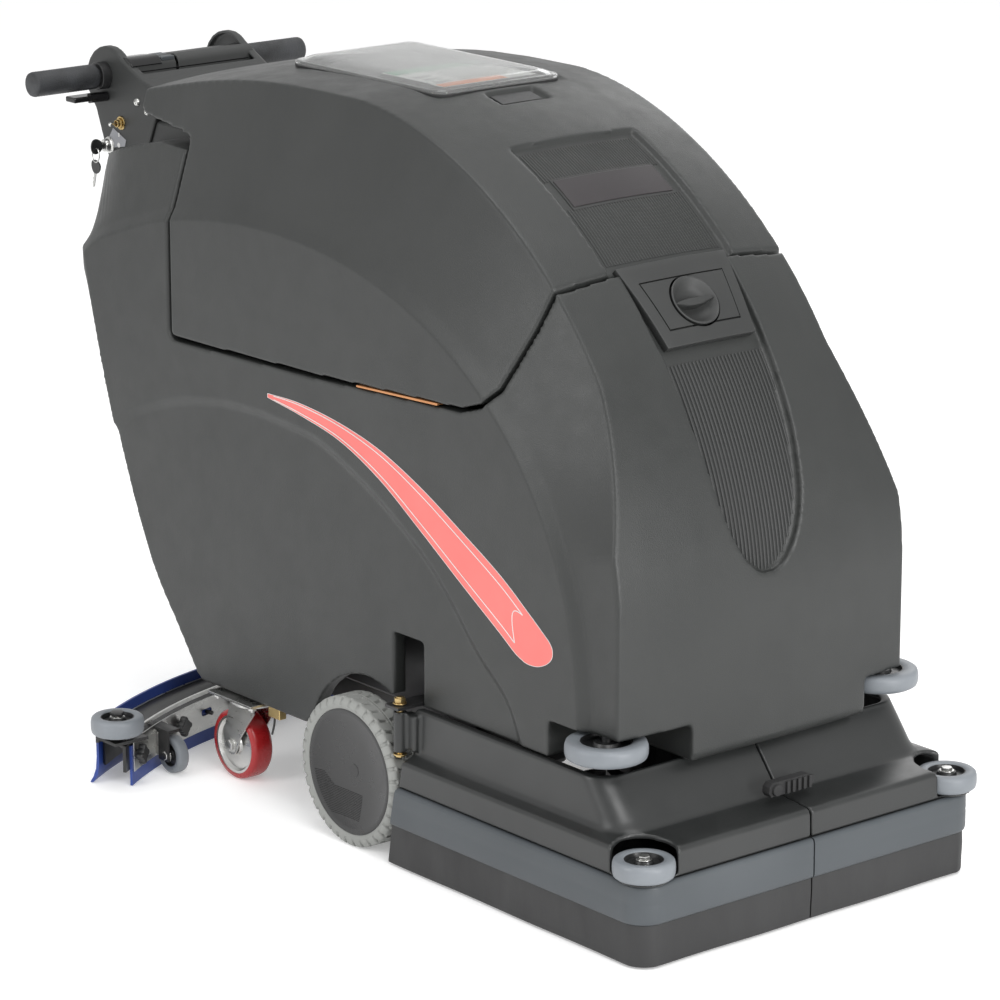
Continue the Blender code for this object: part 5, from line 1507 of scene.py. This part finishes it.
def hose():
    route = [(0, .520, .094), (0, .524, .120), (.002, .540, .170), (.006, .570, .240), (.010, .608, .320),
            (.012, .650, .400), (.012, .684, .470), (.012, .706, .540), (.012, .716, .600),
            (.012, .7165, .660)]
    path = smooth_path(route, 40)
    radii = []
    for i in range(len(path)):
        near = min(i, len(path) - 1 - i) / 24
        swell = 0.5 + 0.5 * math.cos(2 * math.pi * i / 6)
        radii.append(0.0190 - (0.0024 * (1 - swell) if near > 1 else 0.0004))
    pipe = shade(obj_from("suction_hose", tube("hose", path, 0.019, 28, radii=radii), TRIM), 80)
    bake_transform(pipe)
    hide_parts("vacuum_hose")


def inside():
    dress("chassis_frame", "transaxle", "brush_deck", "squeegee_arm", finish=STEEL, width=0.0012)
    dress("battery_left", "battery_right", finish=BATTERY, width=0.004)
    dress("vacuum_motor", "brush_motor", finish=TRIM, width=0.002)
    dress("brush_disc", finish=BRISTLE, width=0.001)


# ---- studio -------------------------------------------------------------------------------
def floor_finish():
    """A pale floor that glows a little, so that it stays white under soft light."""
    colour, rough = (0.86, 0.86, 0.86), 0.75
    n = Nodes("floor")
    n.shader.inputs["Emission Color"].default_value = (1, 1, 1, 1)
    n.shader.inputs["Emission Strength"].default_value = 0.27
    n.link(n.mixed(n.spread(n.noise(3.0), 0, 1), colour, tuple(c * 0.985 for c in colour)),
            n.shader.inputs["Base Color"])
    n.link(n.spread(n.noise(12.0), rough - 0.03, rough + 0.03), n.shader.inputs["Roughness"])
    return n.material


def light(name, place, target, size, power):
    data = bpy.data.lights.new(name, "AREA")
    data.shape, data.size, data.size_y, data.energy = "RECTANGLE", size[0], size[1], power
    lamp = bpy.data.objects.new(name, data)
    lamp.location = place
    lamp.rotation_mode = "QUATERNION"
    lamp.rotation_quaternion = (Vector(place) - Vector(target)).to_track_quat("Z", "Y")
    bpy.context.scene.collection.objects.link(lamp)


def studio():
    ground = loft("ground", [[(x, y, z) for x, y in ((-14, -14), (14, -14), (14, 14), (-14, 14))]
            for z in (-0.02, -0.0002)])
    ground = obj_from("studio_floor", ground, floor_finish(), shift=False)
    light("key", (-1.4, -3.6, 3.0), (0, 0, 0.4), (2.0, 1.6), 70)
    light("front", (0.25, -4.6, 1.15), (0, 0, 0.45), (0.9, 1.5), 85)
    light("side", (-4.2, 0.4, 2.2), (0, 0, 0.4), (1.6, 2.6), 60)
    light("top", (0.2, -0.4, 4.6), (0, 0, 0.4), (2.2, 2.6), 60)
    light("rim", (3.4, 1.6, 2.4), (0, 0, 0.5), (2.0, 2.0), 22)
    world = bpy.data.worlds.new("studio_world")
    world.use_nodes = True
    sky = world.node_tree.nodes["Background"]
    sky.inputs["Color"].default_value = (1, 1, 1, 1)
    sky.inputs["Strength"].default_value = 0.80
    bpy.context.scene.world = world
    data = bpy.data.cameras.new("camera")
    data.lens, data.sensor_width, data.clip_end = 158.58, 36, 60
    camera = bpy.data.objects.new("camera", data)
    azimuth, elevation = math.radians(-39.489), math.radians(15.581)
    back = Vector((math.sin(azimuth) * math.cos(elevation), -math.cos(azimuth) * math.cos(elevation),
            math.sin(elevation)))
    camera.location = (-3.6463, -4.5084, 2.0211)
    camera.rotation_mode = "QUATERNION"
    camera.rotation_quaternion = (-back).to_track_quat("-Z", "Y")
    bpy.context.scene.collection.objects.link(camera)
    bpy.context.scene.camera = camera
    bpy.context.scene.view_settings.view_transform = "Standard"


body_piece()
tank_piece()
ribbed_panels()
badge()
filler()
lid()
doors()
rollers()
drive_wheels()
casters()
squeegee()
controls()
decal()
hose()
inside()
studio()
